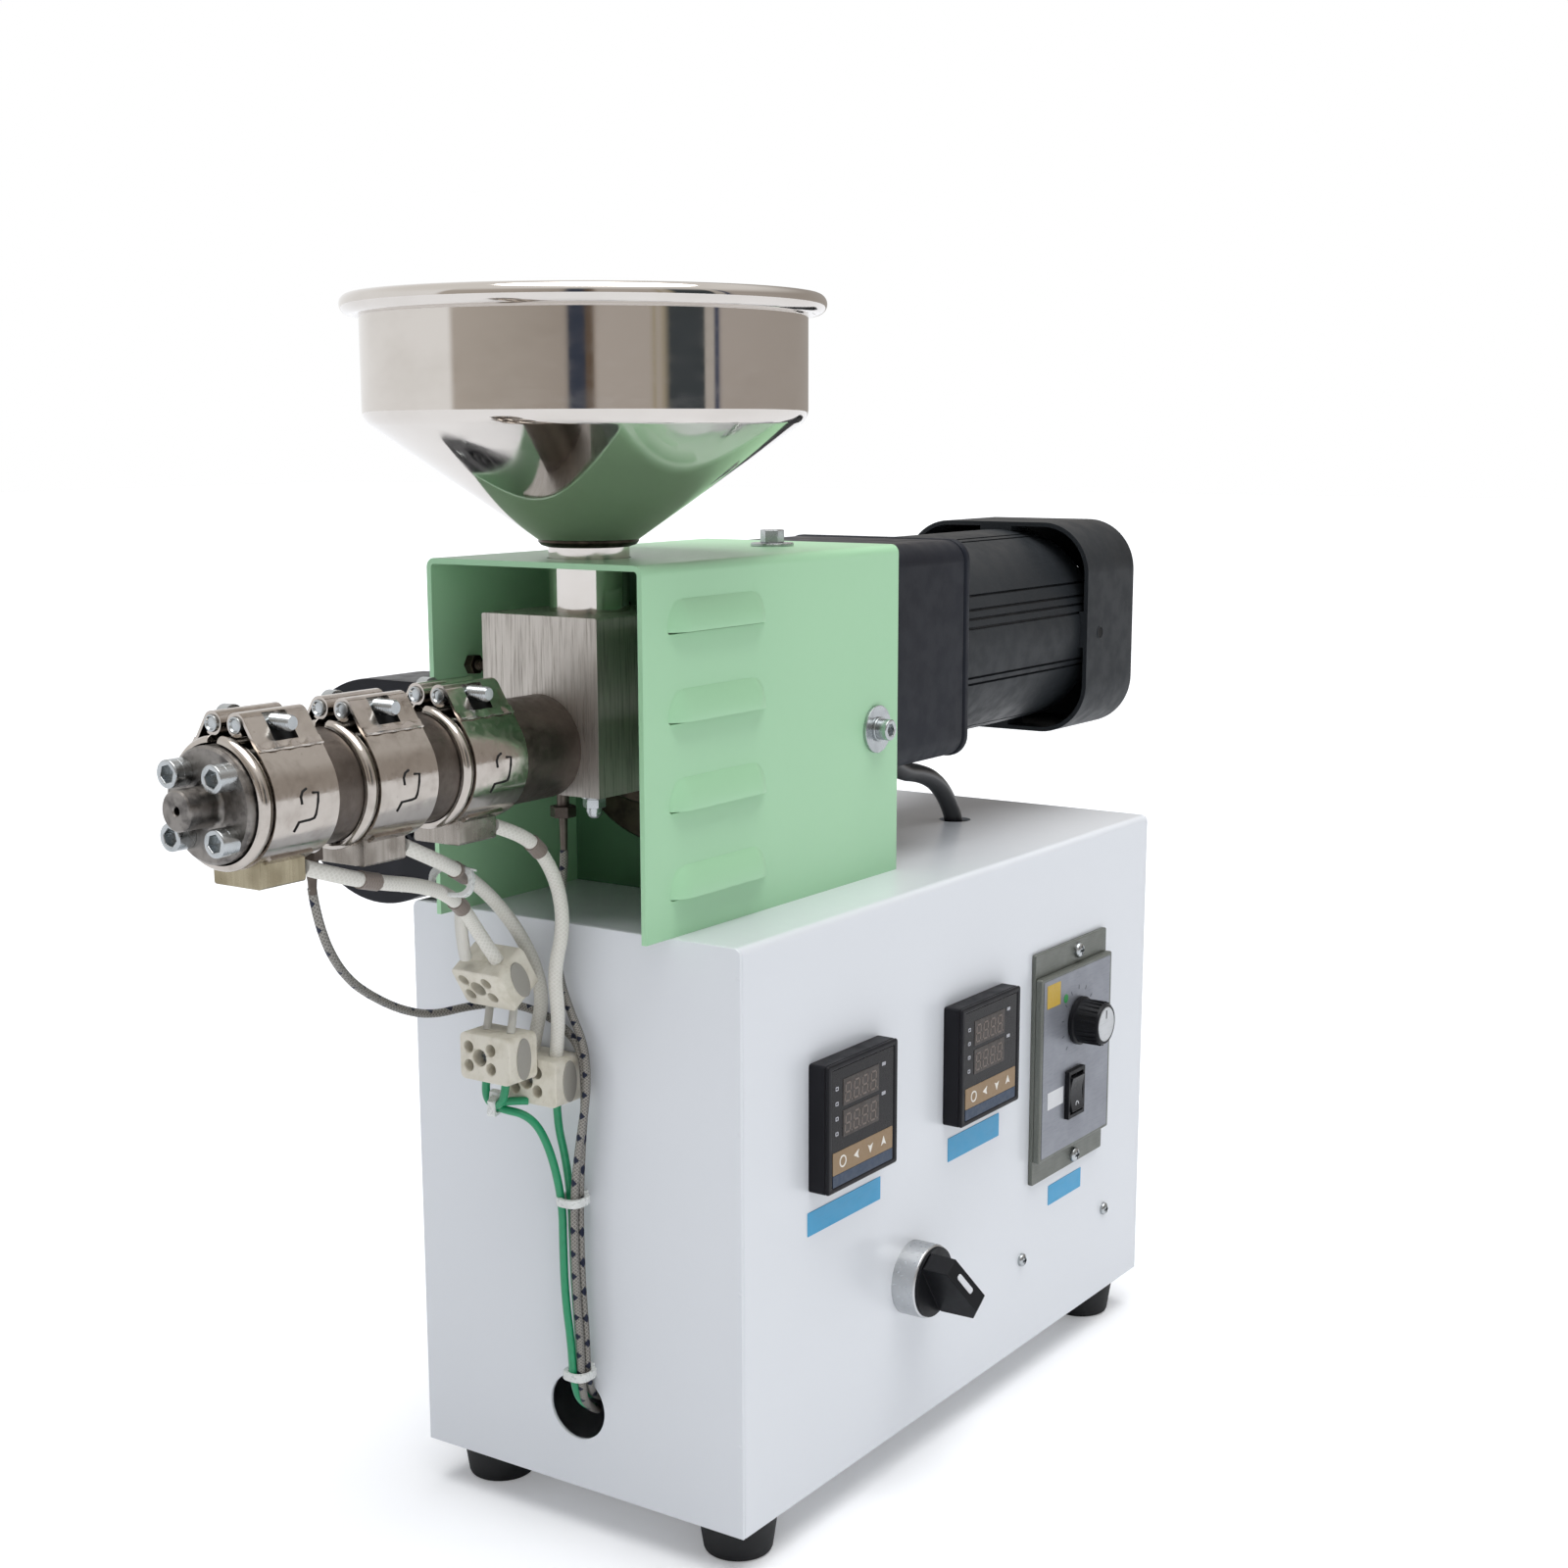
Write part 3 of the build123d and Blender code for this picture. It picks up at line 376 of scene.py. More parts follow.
def unglazed_steatite():
    """Unglazed steatite of terminal blocks: warm off-white and matte, with fine pits and handling marks."""
    made = Finish("unglazed_steatite", "#DCD7C9", 0.62)
    made.patches("#CCC6B5", 0.42, 0.75, 1.0, 5)
    made.patches("#B2AA95", 0.62, 0.8, 0.5, 1.6)
    made.bump(made.noise(0.6), 0.04)
    return made.rub(made.noise(3), 0.52, 0.72).material


def printed_vinyl():
    """Blue label vinyl: smooth and a little patchy, as a label printer leaves it."""
    made = Finish("label_vinyl", scene.extruder_colours.labels, 0.36)
    made.patches("#2A8DB9", 0.5, 0.8, 0.4, 0.8, (0.1, 1, 1))
    made.bump(made.noise(4), 0.02)
    return made.rub(made.noise(6), 0.3, 0.42).material


def clear_nylon():
    """Natural nylon of the cable ties: milky, half clear and smooth."""
    made = Finish("clear_nylon", "#E4E6E3", 0.3, Transmission_Weight=0.12, IOR=1.53)
    return made.rub(made.noise(1.5), 0.24, 0.38).material


def sleeve(name, colour, shade, starts, turns, gloss=0.7, fleck=None, metallic=0.0):
    """Braided sleeve: starts threads wind each way round it, turns times along the cord's UV map."""
    made = Finish(name, colour, gloss, metallic, "UV", Sheen_Weight=0.2 if not metallic else 0.0)
    place = add_node(made.tree, "ShaderNodeSeparateXYZ", {}, {"Vector": made.source}).outputs

    def crossed(operation, starts, turns):
        """Two sets of threads wound opposite ways, put together by an operation."""
        around = maths(made.tree, "MULTIPLY", place[1], starts * 2 * pi)
        angles = [maths(made.tree, "MULTIPLY_ADD", place[0], way * turns * 2 * pi, around) for way in (1, -1)]
        return maths(made.tree, operation, *[maths(made.tree, "SINE", angle) for angle in angles])

    weave = crossed("MAXIMUM", starts, turns)
    made.tint(made.fade(weave, 0.2, 0.9, 0.6 if fleck else 0.3, 0.0), shade)
    if fleck:
        colour, turns = fleck
        made.tint(made.fade(crossed("MINIMUM", 1, turns), 0.35, 0.55), colour)
    return made.bump(weave, 0.04).material


def wire_skin(name, colour, shade, gloss=0.3):
    """Extruded wire insulation: glossy, and faintly rippled by the strands under it."""
    made = Finish(name, colour, gloss, coords="UV", Coat_Weight=0.1)
    strand = made.noise(1500, (100, 10, 1))
    made.tint(made.fade(strand, 0.4, 0.8, 0.0, 0.5), shade)
    return made.bump(strand, 0.01).material


def dark_void():
    """Unlit inside of a hole: dull near-black."""
    made = Finish("dark_void", "#08090A", 0.9)
    return made.bump(made.noise(4), 0.05).material


finishes = {}


def finish(maker, *values):
    """A material from its maker, made once."""
    key = (maker.__name__, *values)
    if key not in finishes:
        finishes[key] = maker(*values)
    return finishes[key]


def black_abs():
    """Black plastic that the panel's knob, handle and rocker frame share."""
    return finish(moulded_plastic, "black_abs", "#131417", "#1B1C20", 0.4)


def ink(name, colour):
    """A printed ink of a colour."""
    return finish(printed_ink, name, colour)


# Meshes
def welded(mesh, reach=1e-3):
    """The same mesh with its doubles merged and its faces turned outwards."""
    work = bmesh.new()
    work.from_mesh(mesh)
    bmesh.ops.remove_doubles(work, verts=work.verts, dist=reach)
    bmesh.ops.recalc_face_normals(work, faces=work.faces)
    work.to_mesh(mesh)
    work.free()
    return mesh


def taken(work):
    """Mesh of a finished bmesh."""
    mesh = bpy.data.meshes.new("piece")
    work.to_mesh(mesh)
    work.free()
    return mesh


def joined(*meshes):
    """One mesh from several."""
    work = bmesh.new()
    for mesh in meshes:
        work.from_mesh(mesh)
    return taken(work)


def both_sides(near, reach=1e-3):
    """A mesh and its mirror image in the plane y = 0, as one."""
    far = near.copy()
    far.transform(Matrix.Scale(-1, 4, along_y))
    return welded(joined(near, far), reach)


def moved(mesh, place=(0, 0, 0), right=along_x, up=along_y):
    """A copy of a mesh, its x along right, its y along up, and its origin at place."""
    right, up = Vector(right).normalized(), Vector(up).normalized()
    turn = Matrix((right, up, right.cross(up))).transposed().to_4x4()
    mesh = mesh.copy()
    mesh.transform(Matrix.Translation(place) @ turn)
    return mesh


def on_panel(mesh, place):
    """A copy of a mesh, its z turned out of the panel."""
    return moved(mesh, place, along_x, upward)


def evaluated(mesh, *modifiers):
    """The mesh after modifiers, each given as its type and its settings."""
    holder = bpy.data.objects.new("holder", mesh)
    scene.collection.objects.link(holder)
    for kind, settings in modifiers:
        modifier = holder.modifiers.new(kind, kind)
        for name, value in settings.items():
            setattr(modifier, name, value)
    graph = bpy.context.evaluated_depsgraph_get()
    result = bpy.data.meshes.new_from_object(holder.evaluated_get(graph))
    bpy.data.objects.remove(holder)
    return result


def cut(mesh, *tools):
    """The mesh less the given solids."""
    for tool in tools:
        cutter = bpy.data.objects.new("cutter", tool)
        scene.collection.objects.link(cutter)
        mesh = evaluated(mesh, ("BOOLEAN", {"operation": "DIFFERENCE", "solver": "EXACT", "object": cutter}))
        bpy.data.objects.remove(cutter)
    return mesh


def show(name, mesh, material, body="machine", slot=None, replaces=(), bevel=0.0, angle=35, unit=mm, more=()):
    """Adds a finished mesh to the scene as one piece that rides on a body."""
    if unit != 1:
        mesh.transform(Matrix.Scale(unit, 4))
    mesh.materials.clear()
    for part in (material, *more):
        mesh.materials.append(part)
    mesh.shade_smooth()
    mesh.set_sharp_from_angle(angle=radians(angle))
    piece = bpy.data.objects.new(name, mesh)
    scene.collection.objects.link(piece)
    if bevel:
        edge = piece.modifiers.new("edge", "BEVEL")
        edge.width = bevel * mm
        edge.segments = 2
        edge.limit_method = "ANGLE"
        edge.angle_limit = radians(angle)
    flats = piece.modifiers.new("flats", "WEIGHTED_NORMAL")
    flats.keep_sharp = True
    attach(piece, body)
    if replaces:
        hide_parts(*([replaces] if isinstance(replaces, str) else replaces))
    return piece


def dressed(node, material, slot, bevel=0.25, body="machine", angle=30):
    """A CAD node's own shape, merged, smoothed and with its edges broken, in a better finish."""
    mesh = nodes[node].data.copy()
    work = bmesh.new()
    work.from_mesh(mesh)
    bmesh.ops.remove_doubles(work, verts=work.verts, dist=2e-6)
    bmesh.ops.dissolve_limit(work, angle_limit=radians(0.5), verts=work.verts, edges=work.edges)
    work.to_mesh(mesh)
    work.free()
    return show(f"{node}_dressed", mesh, material, body, slot, node, bevel, angle, unit=1)


def turned(profile, place=(0, 0, 0), along=upward, steps=96, start=0.0, sweep=2 * pi):
    """Mesh of a closed profile of (radius, height) points turned round a line through place."""
    line = Vector(along).normalized()
    side = along_y if abs(line.x) > 0.5 else along_x
    across = line.cross(side)
    full = sweep > 2 * pi - 1e-6
    work = bmesh.new()
    count = steps if full else steps + 1
    rings = []
    for radius, height in profile:
        centre = Vector(place) + line * height
        rings.append([work.verts.new(centre + radius * (side * cos(turn) + across * sin(turn)))
                      for turn in (start + sweep * step / steps for step in range(count))])
    for lower, upper in zip(rings, rings[1:] + rings[:1]):
        for step in range(steps):
            after = (step + 1) % count
            work.faces.new((lower[step], lower[after], upper[after], upper[step]))
    if not full:
        work.faces.new([ring[0] for ring in rings])
        work.faces.new([ring[-1] for ring in reversed(rings)])
    return welded(taken(work))


def rounded(corners, steps=5):
    """Closed outline through corners given as (x, y) or (x, y, radius), the radii as arcs."""
    points = []
    for at, corner in enumerate(corners):
        here = Vector(corner[:2])
        if len(corner) < 3 or not corner[2]:
            points.append(here)
            continue
        before = (Vector(corners[at - 1][:2]) - here).normalized()
        after = (Vector(corners[(at + 1) % len(corners)][:2]) - here).normalized()
        half = before.angle(after) / 2
        centre = here + (before + after).normalized() * corner[2] / sin(half)
        start = (here + before * corner[2] / tan(half) - centre).normalized()
        end = (here + after * corner[2] / tan(half) - centre).normalized()
        points += [centre + start.slerp(end, step / steps) * corner[2] for step in range(steps + 1)]
    return points


def ring(radius, centre=(0, 0), steps=48, start=0.0):
    """Round outline, or a regular polygon where the steps are few."""
    return [Vector((centre[0] + radius * cos(start + 2 * pi * step / steps),
                    centre[1] + radius * sin(start + 2 * pi * step / steps))) for step in range(steps)]


def oblong(width, height, corner=0.0, centre=(0, 0), steps=5):
    """Rectangle round a centre, its corners rounded."""
    x, y = width / 2, height / 2
    return rounded([(centre[0] + sx * x, centre[1] + sy * y, corner)
                    for sx, sy in ((1, -1), (1, 1), (-1, 1), (-1, -1))], steps)


def mesh_from(data):
    """Mesh of a curve."""
    holder = bpy.data.objects.new("holder", data)
    mesh = bpy.data.meshes.new_from_object(holder)
    bpy.data.objects.remove(holder)
    return mesh


def plate(loops, thick, place=(0, 0, 0), right=along_x, up=along_y, edge=0.15):
    """Flat plate inside closed outlines, the first its rim and the rest its holes, its edges rounded.

    It stands on place and grows along right cross up.
    """
    curve = bpy.data.curves.new("outline", "CURVE")
    curve.dimensions = "2D"
    curve.fill_mode = "BOTH"
    curve.extrude = thick / 2 - edge
    curve.bevel_depth = edge
    curve.bevel_resolution = 2
    curve.offset = -edge
    for at, loop in enumerate(loops):
        area = sum(a[0] * b[1] - b[0] * a[1] for a, b in zip(loop, loop[1:] + loop[:1]))
        if (area > 0) == (at > 0):
            loop = loop[::-1]
        spline = curve.splines.new("POLY")
        spline.points.add(len(loop) - 1)
        spline.use_cyclic_u = True
        for point, corner in zip(spline.points, loop):
            point.co = (corner[0], corner[1], 0, 1)
    mesh = welded(mesh_from(curve), 1e-4)
    mesh.transform(Matrix.Translation((0, 0, thick / 2)))
    return moved(mesh, place, right, up)


def panel_plate(loops, thick, place, edge=0.05):
    """Flat plate whose back lies on the panel side at place."""
    return plate(loops, thick, place, along_x, upward, edge)


def folded(path, stations, thick, place=(0, 0, 0), skip=None, shift=None, even=True):
    """Sheet that follows a path of (y, z) points across x stations, thickened away from its hollow side.

    skip(x, at) leaves out a patch, and shift(x, at) moves a point of the path by (y, z).
    """
    work = bmesh.new()
    grid = []
    for x in stations:
        moves = [shift(x, at) if shift else (0, 0) for at in range(len(path))]
        grid.append([work.verts.new(Vector(place) + Vector((x, y + move_y, z + move_z)))
                     for (y, z), (move_y, move_z) in zip(path, moves)])
    middles = [(here + after) / 2 for here, after in zip(stations, stations[1:])]
    for x, left, right in zip(middles, grid, grid[1:]):
        for at in range(len(path) - 1):
            if not (skip and skip(x, at)):
                work.faces.new((left[at], right[at], right[at + 1], left[at + 1]))
    loose = [vert for vert in work.verts if not vert.link_faces]
    bmesh.ops.delete(work, geom=loose, context="VERTS")
    bmesh.ops.remove_doubles(work, verts=work.verts, dist=1e-4)
    return evaluated(taken(work), ("SOLIDIFY", {"thickness": thick, "offset": -1, "use_even_offset": even}))


def curve_through(name, points, radius=0.0, sides=12, fineness=16, smooth=True):
    """Curve with the points as its control points, and a round section where it has a radius."""
    curve = bpy.data.curves.new(name, "CURVE")
    curve.dimensions = "3D"
    curve.bevel_depth = radius
    curve.bevel_resolution = sides // 2
    curve.resolution_u = fineness
    curve.use_fill_caps = True
    spline = curve.splines.new("NURBS" if smooth else "POLY")
    spline.points.add(len(points) - 1)
    for point, place in zip(spline.points, points):
        point.co = (*place, 1)
    if smooth:
        spline.order_u = 3
        spline.use_endpoint_u = True
    return curve


def tube(points, radius, sides=10, smooth=True):
    """Round tube through points, as a smooth line or straight runs."""
    return mesh_from(curve_through("tube", points, radius, sides, 12, smooth))


# Geometry Nodes trees for what repeats
def new_tree(name, **inputs):
    """Geometry Nodes tree with named inputs, each given as its socket type."""
    tree = bpy.data.node_groups.new(name, "GeometryNodeTree")
    tree.interface.new_socket("Geometry", in_out="OUTPUT", socket_type="NodeSocketGeometry")
    for label, kind in inputs.items():
        tree.interface.new_socket(label, in_out="INPUT", socket_type=kind)
    return tree, add_node(tree, "NodeGroupInput").outputs


def finish_tree(tree, points, given, turn=None):
    """Sets the copies on the points, makes them real and gives them their material."""
    source = add_node(tree, "GeometryNodeObjectInfo", {}, {"Object": given["Copy"]})
    inputs = {"Points": points, "Instance": source.outputs["Geometry"]}
    if turn:
        inputs["Rotation"] = turn
    placed = add_node(tree, "GeometryNodeInstanceOnPoints", {}, inputs)
    real = add_node(tree, "GeometryNodeRealizeInstances", {}, {"Geometry": placed.outputs[0]})
    skin = add_node(tree, "GeometryNodeSetMaterial", {}, {
        "Geometry": real.outputs[0], "Material": given["Material"]})
    end = add_node(tree, "NodeGroupOutput")
    tree.links.new(skin.outputs[0], end.inputs[0])
    return tree


def ring_tree():
    """Copies round a circle about +Z, each turned with its place."""
    tree, given = new_tree("copies_round_a_circle", Copy="NodeSocketObject", Material="NodeSocketMaterial",
                           Count="NodeSocketInt", Radius="NodeSocketFloat", Start="NodeSocketFloat")
    circle = add_node(tree, "GeometryNodeMeshCircle", {}, {
        "Vertices": given["Count"], "Radius": given["Radius"]})
    index = add_node(tree, "GeometryNodeInputIndex")
    angle = maths(tree, "MULTIPLY", maths(tree, "DIVIDE", index.outputs[0], given["Count"]), 2 * pi)
    spin = add_node(tree, "ShaderNodeCombineXYZ", {}, {"Z": angle})
    whole = add_node(tree, "ShaderNodeCombineXYZ", {}, {"Z": given["Start"]})
    points = add_node(tree, "GeometryNodeTransform", {}, {
        "Geometry": circle.outputs[0], "Rotation": whole.outputs[0]})
    added = add_node(tree, "ShaderNodeVectorMath", {"operation": "ADD"}, {
        0: spin.outputs[0], 1: whole.outputs[0]})
    return finish_tree(tree, points.outputs[0], given, added.outputs[0])


def row_tree():
    """Copies in a straight row with an even step."""
    tree, given = new_tree("copies_in_a_row", Copy="NodeSocketObject", Material="NodeSocketMaterial",
                           Count="NodeSocketInt", First="NodeSocketVector", Step="NodeSocketVector")
    line = add_node(tree, "GeometryNodeMeshLine", {"mode": "OFFSET"}, {
        "Count": given["Count"], "Start Location": given["First"], "Offset": given["Step"]})
    return finish_tree(tree, line.outputs[0], given)


trees = {}


def copies(maker, mesh, material, **inputs):
    """Mesh of the copies that a Geometry Nodes tree makes of one mesh."""
    if maker not in trees:
        trees[maker] = maker()
    source = bpy.data.objects.new("copy", mesh)
    holder = bpy.data.objects.new("copies", bpy.data.meshes.new("copies"))
    for each in (source, holder):
        scene.collection.objects.link(each)
    modifier = holder.modifiers.new("copies", "NODES")
    modifier.node_group = trees[maker]
    for item in trees[maker].interface.items_tree:
        if item.in_out == "INPUT":
            modifier[item.identifier] = {"Copy": source, "Material": material, **inputs}[item.name]
    result = bpy.data.meshes.new_from_object(holder.evaluated_get(bpy.context.evaluated_depsgraph_get()))
    for each in (holder, source):
        bpy.data.objects.remove(each)
    return result


# Fasteners, each standing on z = 0 with its head upwards
def socket_screw(dia, high, key):
    """Cap screw head with a hexagon socket."""
    depth = high * 0.55
    top = plate([ring(dia / 2), ring(key / sqrt(3), steps=6)], depth, (0, 0, high - depth), edge=dia * 0.05)
    body = turned([(0, 0), (dia / 2, 0), (dia / 2, high - depth + dia * 0.05), (0, high - depth)], steps=48)
    return joined(body, top)


def pan_screw(dia, high):
    """Pan head with a cross recess."""
    arc = [(dia / 2 * sin(turn * pi / 16), high * (0.35 + 0.65 * cos(turn * pi / 16)))
           for turn in range(8, -1, -1)]
    head = turned([(0, 0), (dia / 2, 0), *arc], steps=36)
    wing, arm = dia * 0.09, dia * 0.3
    cross = rounded([(arm, -wing), (arm, wing), (wing, wing), (wing, arm), (-wing, arm), (-wing, wing),
                     (-arm, wing), (-arm, -wing), (-wing, -wing), (-wing, -arm), (wing, -arm), (wing, -wing)])
    return cut(head, plate([cross], high, (0, 0, high * 0.45), edge=0.02))


def hex_bolt(across, high, shank=0.0, shank_dia=0.0):
    """Hexagon head, with a threaded end standing up from it where it is a nut on a stud."""
    head = plate([ring(across / sqrt(3), steps=6)], high, edge=across * 0.05)
    if not shank:
        return head
    return joined(head, moved(thread(shank_dia, shank), (0, 0, high)))


def thread(dia, long, pitch=1.0):
    """Screw thread as close rings, with a chamfered end."""
    profile = [(0, 0)]
    for turn in range(int(long / pitch)):
        profile += [(dia / 2 - 0.3 * pitch, turn * pitch), (dia / 2, (turn + 0.5) * pitch)]
    profile += [(dia / 2 - 0.6 * pitch, long), (0, long)]
    return turned(profile, steps=32)


def washer(dia, hole, thick):
    """Flat washer."""
    return plate([ring(dia / 2), ring(hole / 2)], thick, edge=0.2)


# Stage
camera_spot = Vector((-704.2, -515.5, 404.6))
camera_heading = 34.506  # degrees from +X towards +Y
camera_dip = 10.828  # degrees below level
camera_roll = -0.202  # degrees
camera_lens = 51.956  # focal length on a sensor 36 mm wide
camera_shift = (0.01699, 0.04857)


def add_camera():
    """Camera at the photograph's place, looking along its heading."""
    heading, dip, roll = radians(camera_heading), radians(camera_dip), radians(camera_roll)
    ahead = Vector((cos(heading) * cos(dip), sin(heading) * cos(dip), -sin(dip)))
    right = ahead.cross(upward).normalized()
    over = right.cross(ahead)
    right, over = right * cos(roll) + over * sin(roll), over * cos(roll) - right * sin(roll)
    data = bpy.data.cameras.new("photo_camera")
    data.lens = camera_lens
    data.sensor_width = 36
    data.shift_x, data.shift_y = camera_shift
    data.clip_start, data.clip_end = 0.01, 50
    made = bpy.data.objects.new("photo_camera", data)
    turn = Matrix((right, over, -ahead)).transposed().to_4x4()
    made.matrix_world = Matrix.Translation(camera_spot * mm) @ turn
    scene.collection.objects.link(made)
    scene.camera = made


def seen_directly(tree):
    """Two outputs: 1 where the camera sees a surface straight or through glass, and 1 where by reflection."""
    path = add_node(tree, "ShaderNodeLightPath")
    direct = maths(tree, "MAXIMUM", path.outputs["Is Camera Ray"], path.outputs["Is Transmission Ray"])
    return direct, path.outputs["Is Glossy Ray"]


def add_world():
    """Plain room: an even pale light, white behind the object, and pale walls with windows and dark gaps that
    only polished metal shows."""
    world = bpy.data.worlds.new("studio")
    scene.world = world
    world.use_nodes = True
    tree = world.node_tree
    for old in list(tree.nodes):
        tree.nodes.remove(old)
    direct, mirror = seen_directly(tree)
    place = add_node(tree, "ShaderNodeSeparateXYZ", {}, {
        "Vector": add_node(tree, "ShaderNodeTexCoord").outputs["Generated"]})
    heading = maths(tree, "ARCTAN2", place.outputs["Y"], place.outputs["X"])
    share = add_node(tree, "ShaderNodeMapRange", {}, {
        "Value": heading, "From Min": -pi, "From Max": pi, "To Min": 0.0, "To Max": 1.0})
    walls = add_node(tree, "ShaderNodeValToRGB", {}, {"Fac": share.outputs[0]})
    ramp = walls.color_ramp
    # Heading of each stretch of the room in degrees from -180, with its colour
    room = ((0, "#BCB5AD"), (29, "#AFA79F"), (31, "#3F4655"), (38, "#3F4655"), (39, "#6A5B4E"),
            (42, "#6A5B4E"), (44, "#BFB8B1"), (71, "#BCB5AE"), (73, "#ABA28E"), (75, "#BCB5AE"),
            (78, "#ABA28E"), (81, "#454B4F"), (100, "#454B4F"), (101, "#BDB8B2"), (106, "#BDB8B2"),
            (107, "#4A5166"), (109, "#4A5166"), (110, "#BAB3AD"), (180, "#B0A9A2"), (213, "#A8A29C"),
            (216, "#FFFFFF"), (327, "#FFFFFF"), (330, "#C3BCB4"))
    ramp.elements[0].position, ramp.elements[0].color = 0, rgb(room[0][1])
    ramp.elements[1].position, ramp.elements[1].color = 1, rgb(room[0][1])
    for degrees, colour in room[1:]:
        ramp.elements.new(degrees / 360).color = rgb(colour)
    height = add_node(tree, "ShaderNodeMapRange", {"interpolation_type": "SMOOTHSTEP"}, {
        "Value": place.outputs["Z"], "From Min": 0.35, "From Max": 0.75})
    ceiling = add_node(tree, "ShaderNodeMix", {"data_type": "RGBA"}, {
        "Factor": height.outputs[0], 6: walls.outputs[0], 7: rgb("#F4F2EF")})
    light, room_light, white = (
        add_node(tree, "ShaderNodeBackground", {}, {"Color": colour, "Strength": strength}).outputs[0]
        for colour, strength in ((rgb("#E6EAF2"), 0.3), (ceiling.outputs[2], 0.95), (rgb("#FFFFFF"), 1.0)))
    glossy = add_node(tree, "ShaderNodeMixShader", {}, {0: mirror, 1: light, 2: room_light})
    every = add_node(tree, "ShaderNodeMixShader", {}, {0: direct, 1: glossy.outputs[0], 2: white})
    end = add_node(tree, "ShaderNodeOutputWorld")
    tree.links.new(every.outputs[0], end.inputs["Surface"])


def add_floor():
    """Pale seamless paper that keeps the object's shadow and is lifted to white for the camera."""
    mesh = bpy.data.meshes.new("floor")
    reach = 12.0  # metres
    corners = [(x * reach, y * reach, 0) for x, y in ((-1, -1), (1, -1), (1, 1), (-1, 1))]
    mesh.from_pydata(corners, [], [(0, 1, 2, 3)])
    made = Finish("seamless_paper", "#F1F2F4", 0.85)
    made.bump(made.noise(2.5), 0.02)
    tree = made.tree
    direct = seen_directly(tree)[0]
    lift = maths(tree, "MULTIPLY", direct, 0.2)
    glow = add_node(tree, "ShaderNodeEmission", {}, {"Color": rgb("#FFFFFF"), "Strength": lift})
    both = add_node(tree, "ShaderNodeAddShader", {}, {0: made.shader.outputs[0], 1: glow.outputs[0]})
    tree.links.new(both.outputs[0], tree.nodes["Material Output"].inputs["Surface"])
    mesh.materials.append(made.material)
    floor = bpy.data.objects.new("floor", mesh)
    scene.collection.objects.link(floor)


def add_lamp(name, strength, spread, towards, mirrored=True):
    """Wide soft lamp far away, shining along a direction."""
    data = bpy.data.lights.new(name, "SUN")
    data.energy = strength
    data.angle = radians(spread)
    lamp = bpy.data.objects.new(name, data)
    lamp.rotation_euler = Vector(towards).to_track_quat("-Z", "Y").to_euler()
    lamp.visible_glossy = mirrored
    scene.collection.objects.link(lamp)


class EXTRUDER_OT_stage(bpy.types.Operator):
    """Add the camera, the floor, the room and its lamps"""
    bl_idname = "extruder.stage"
    bl_label = "Stage"

    def execute(self, context):
        scene.view_settings.view_transform = "Standard"
        add_camera()
        add_world()
        add_floor()
        add_lamp("overhead_softbox", 3.0, 55, (0.05, 0.12, -0.99))
        add_lamp("front_fill", 0.3, 60, (0.5, 0.75, -0.35), mirrored=False)
        return {"FINISHED"}


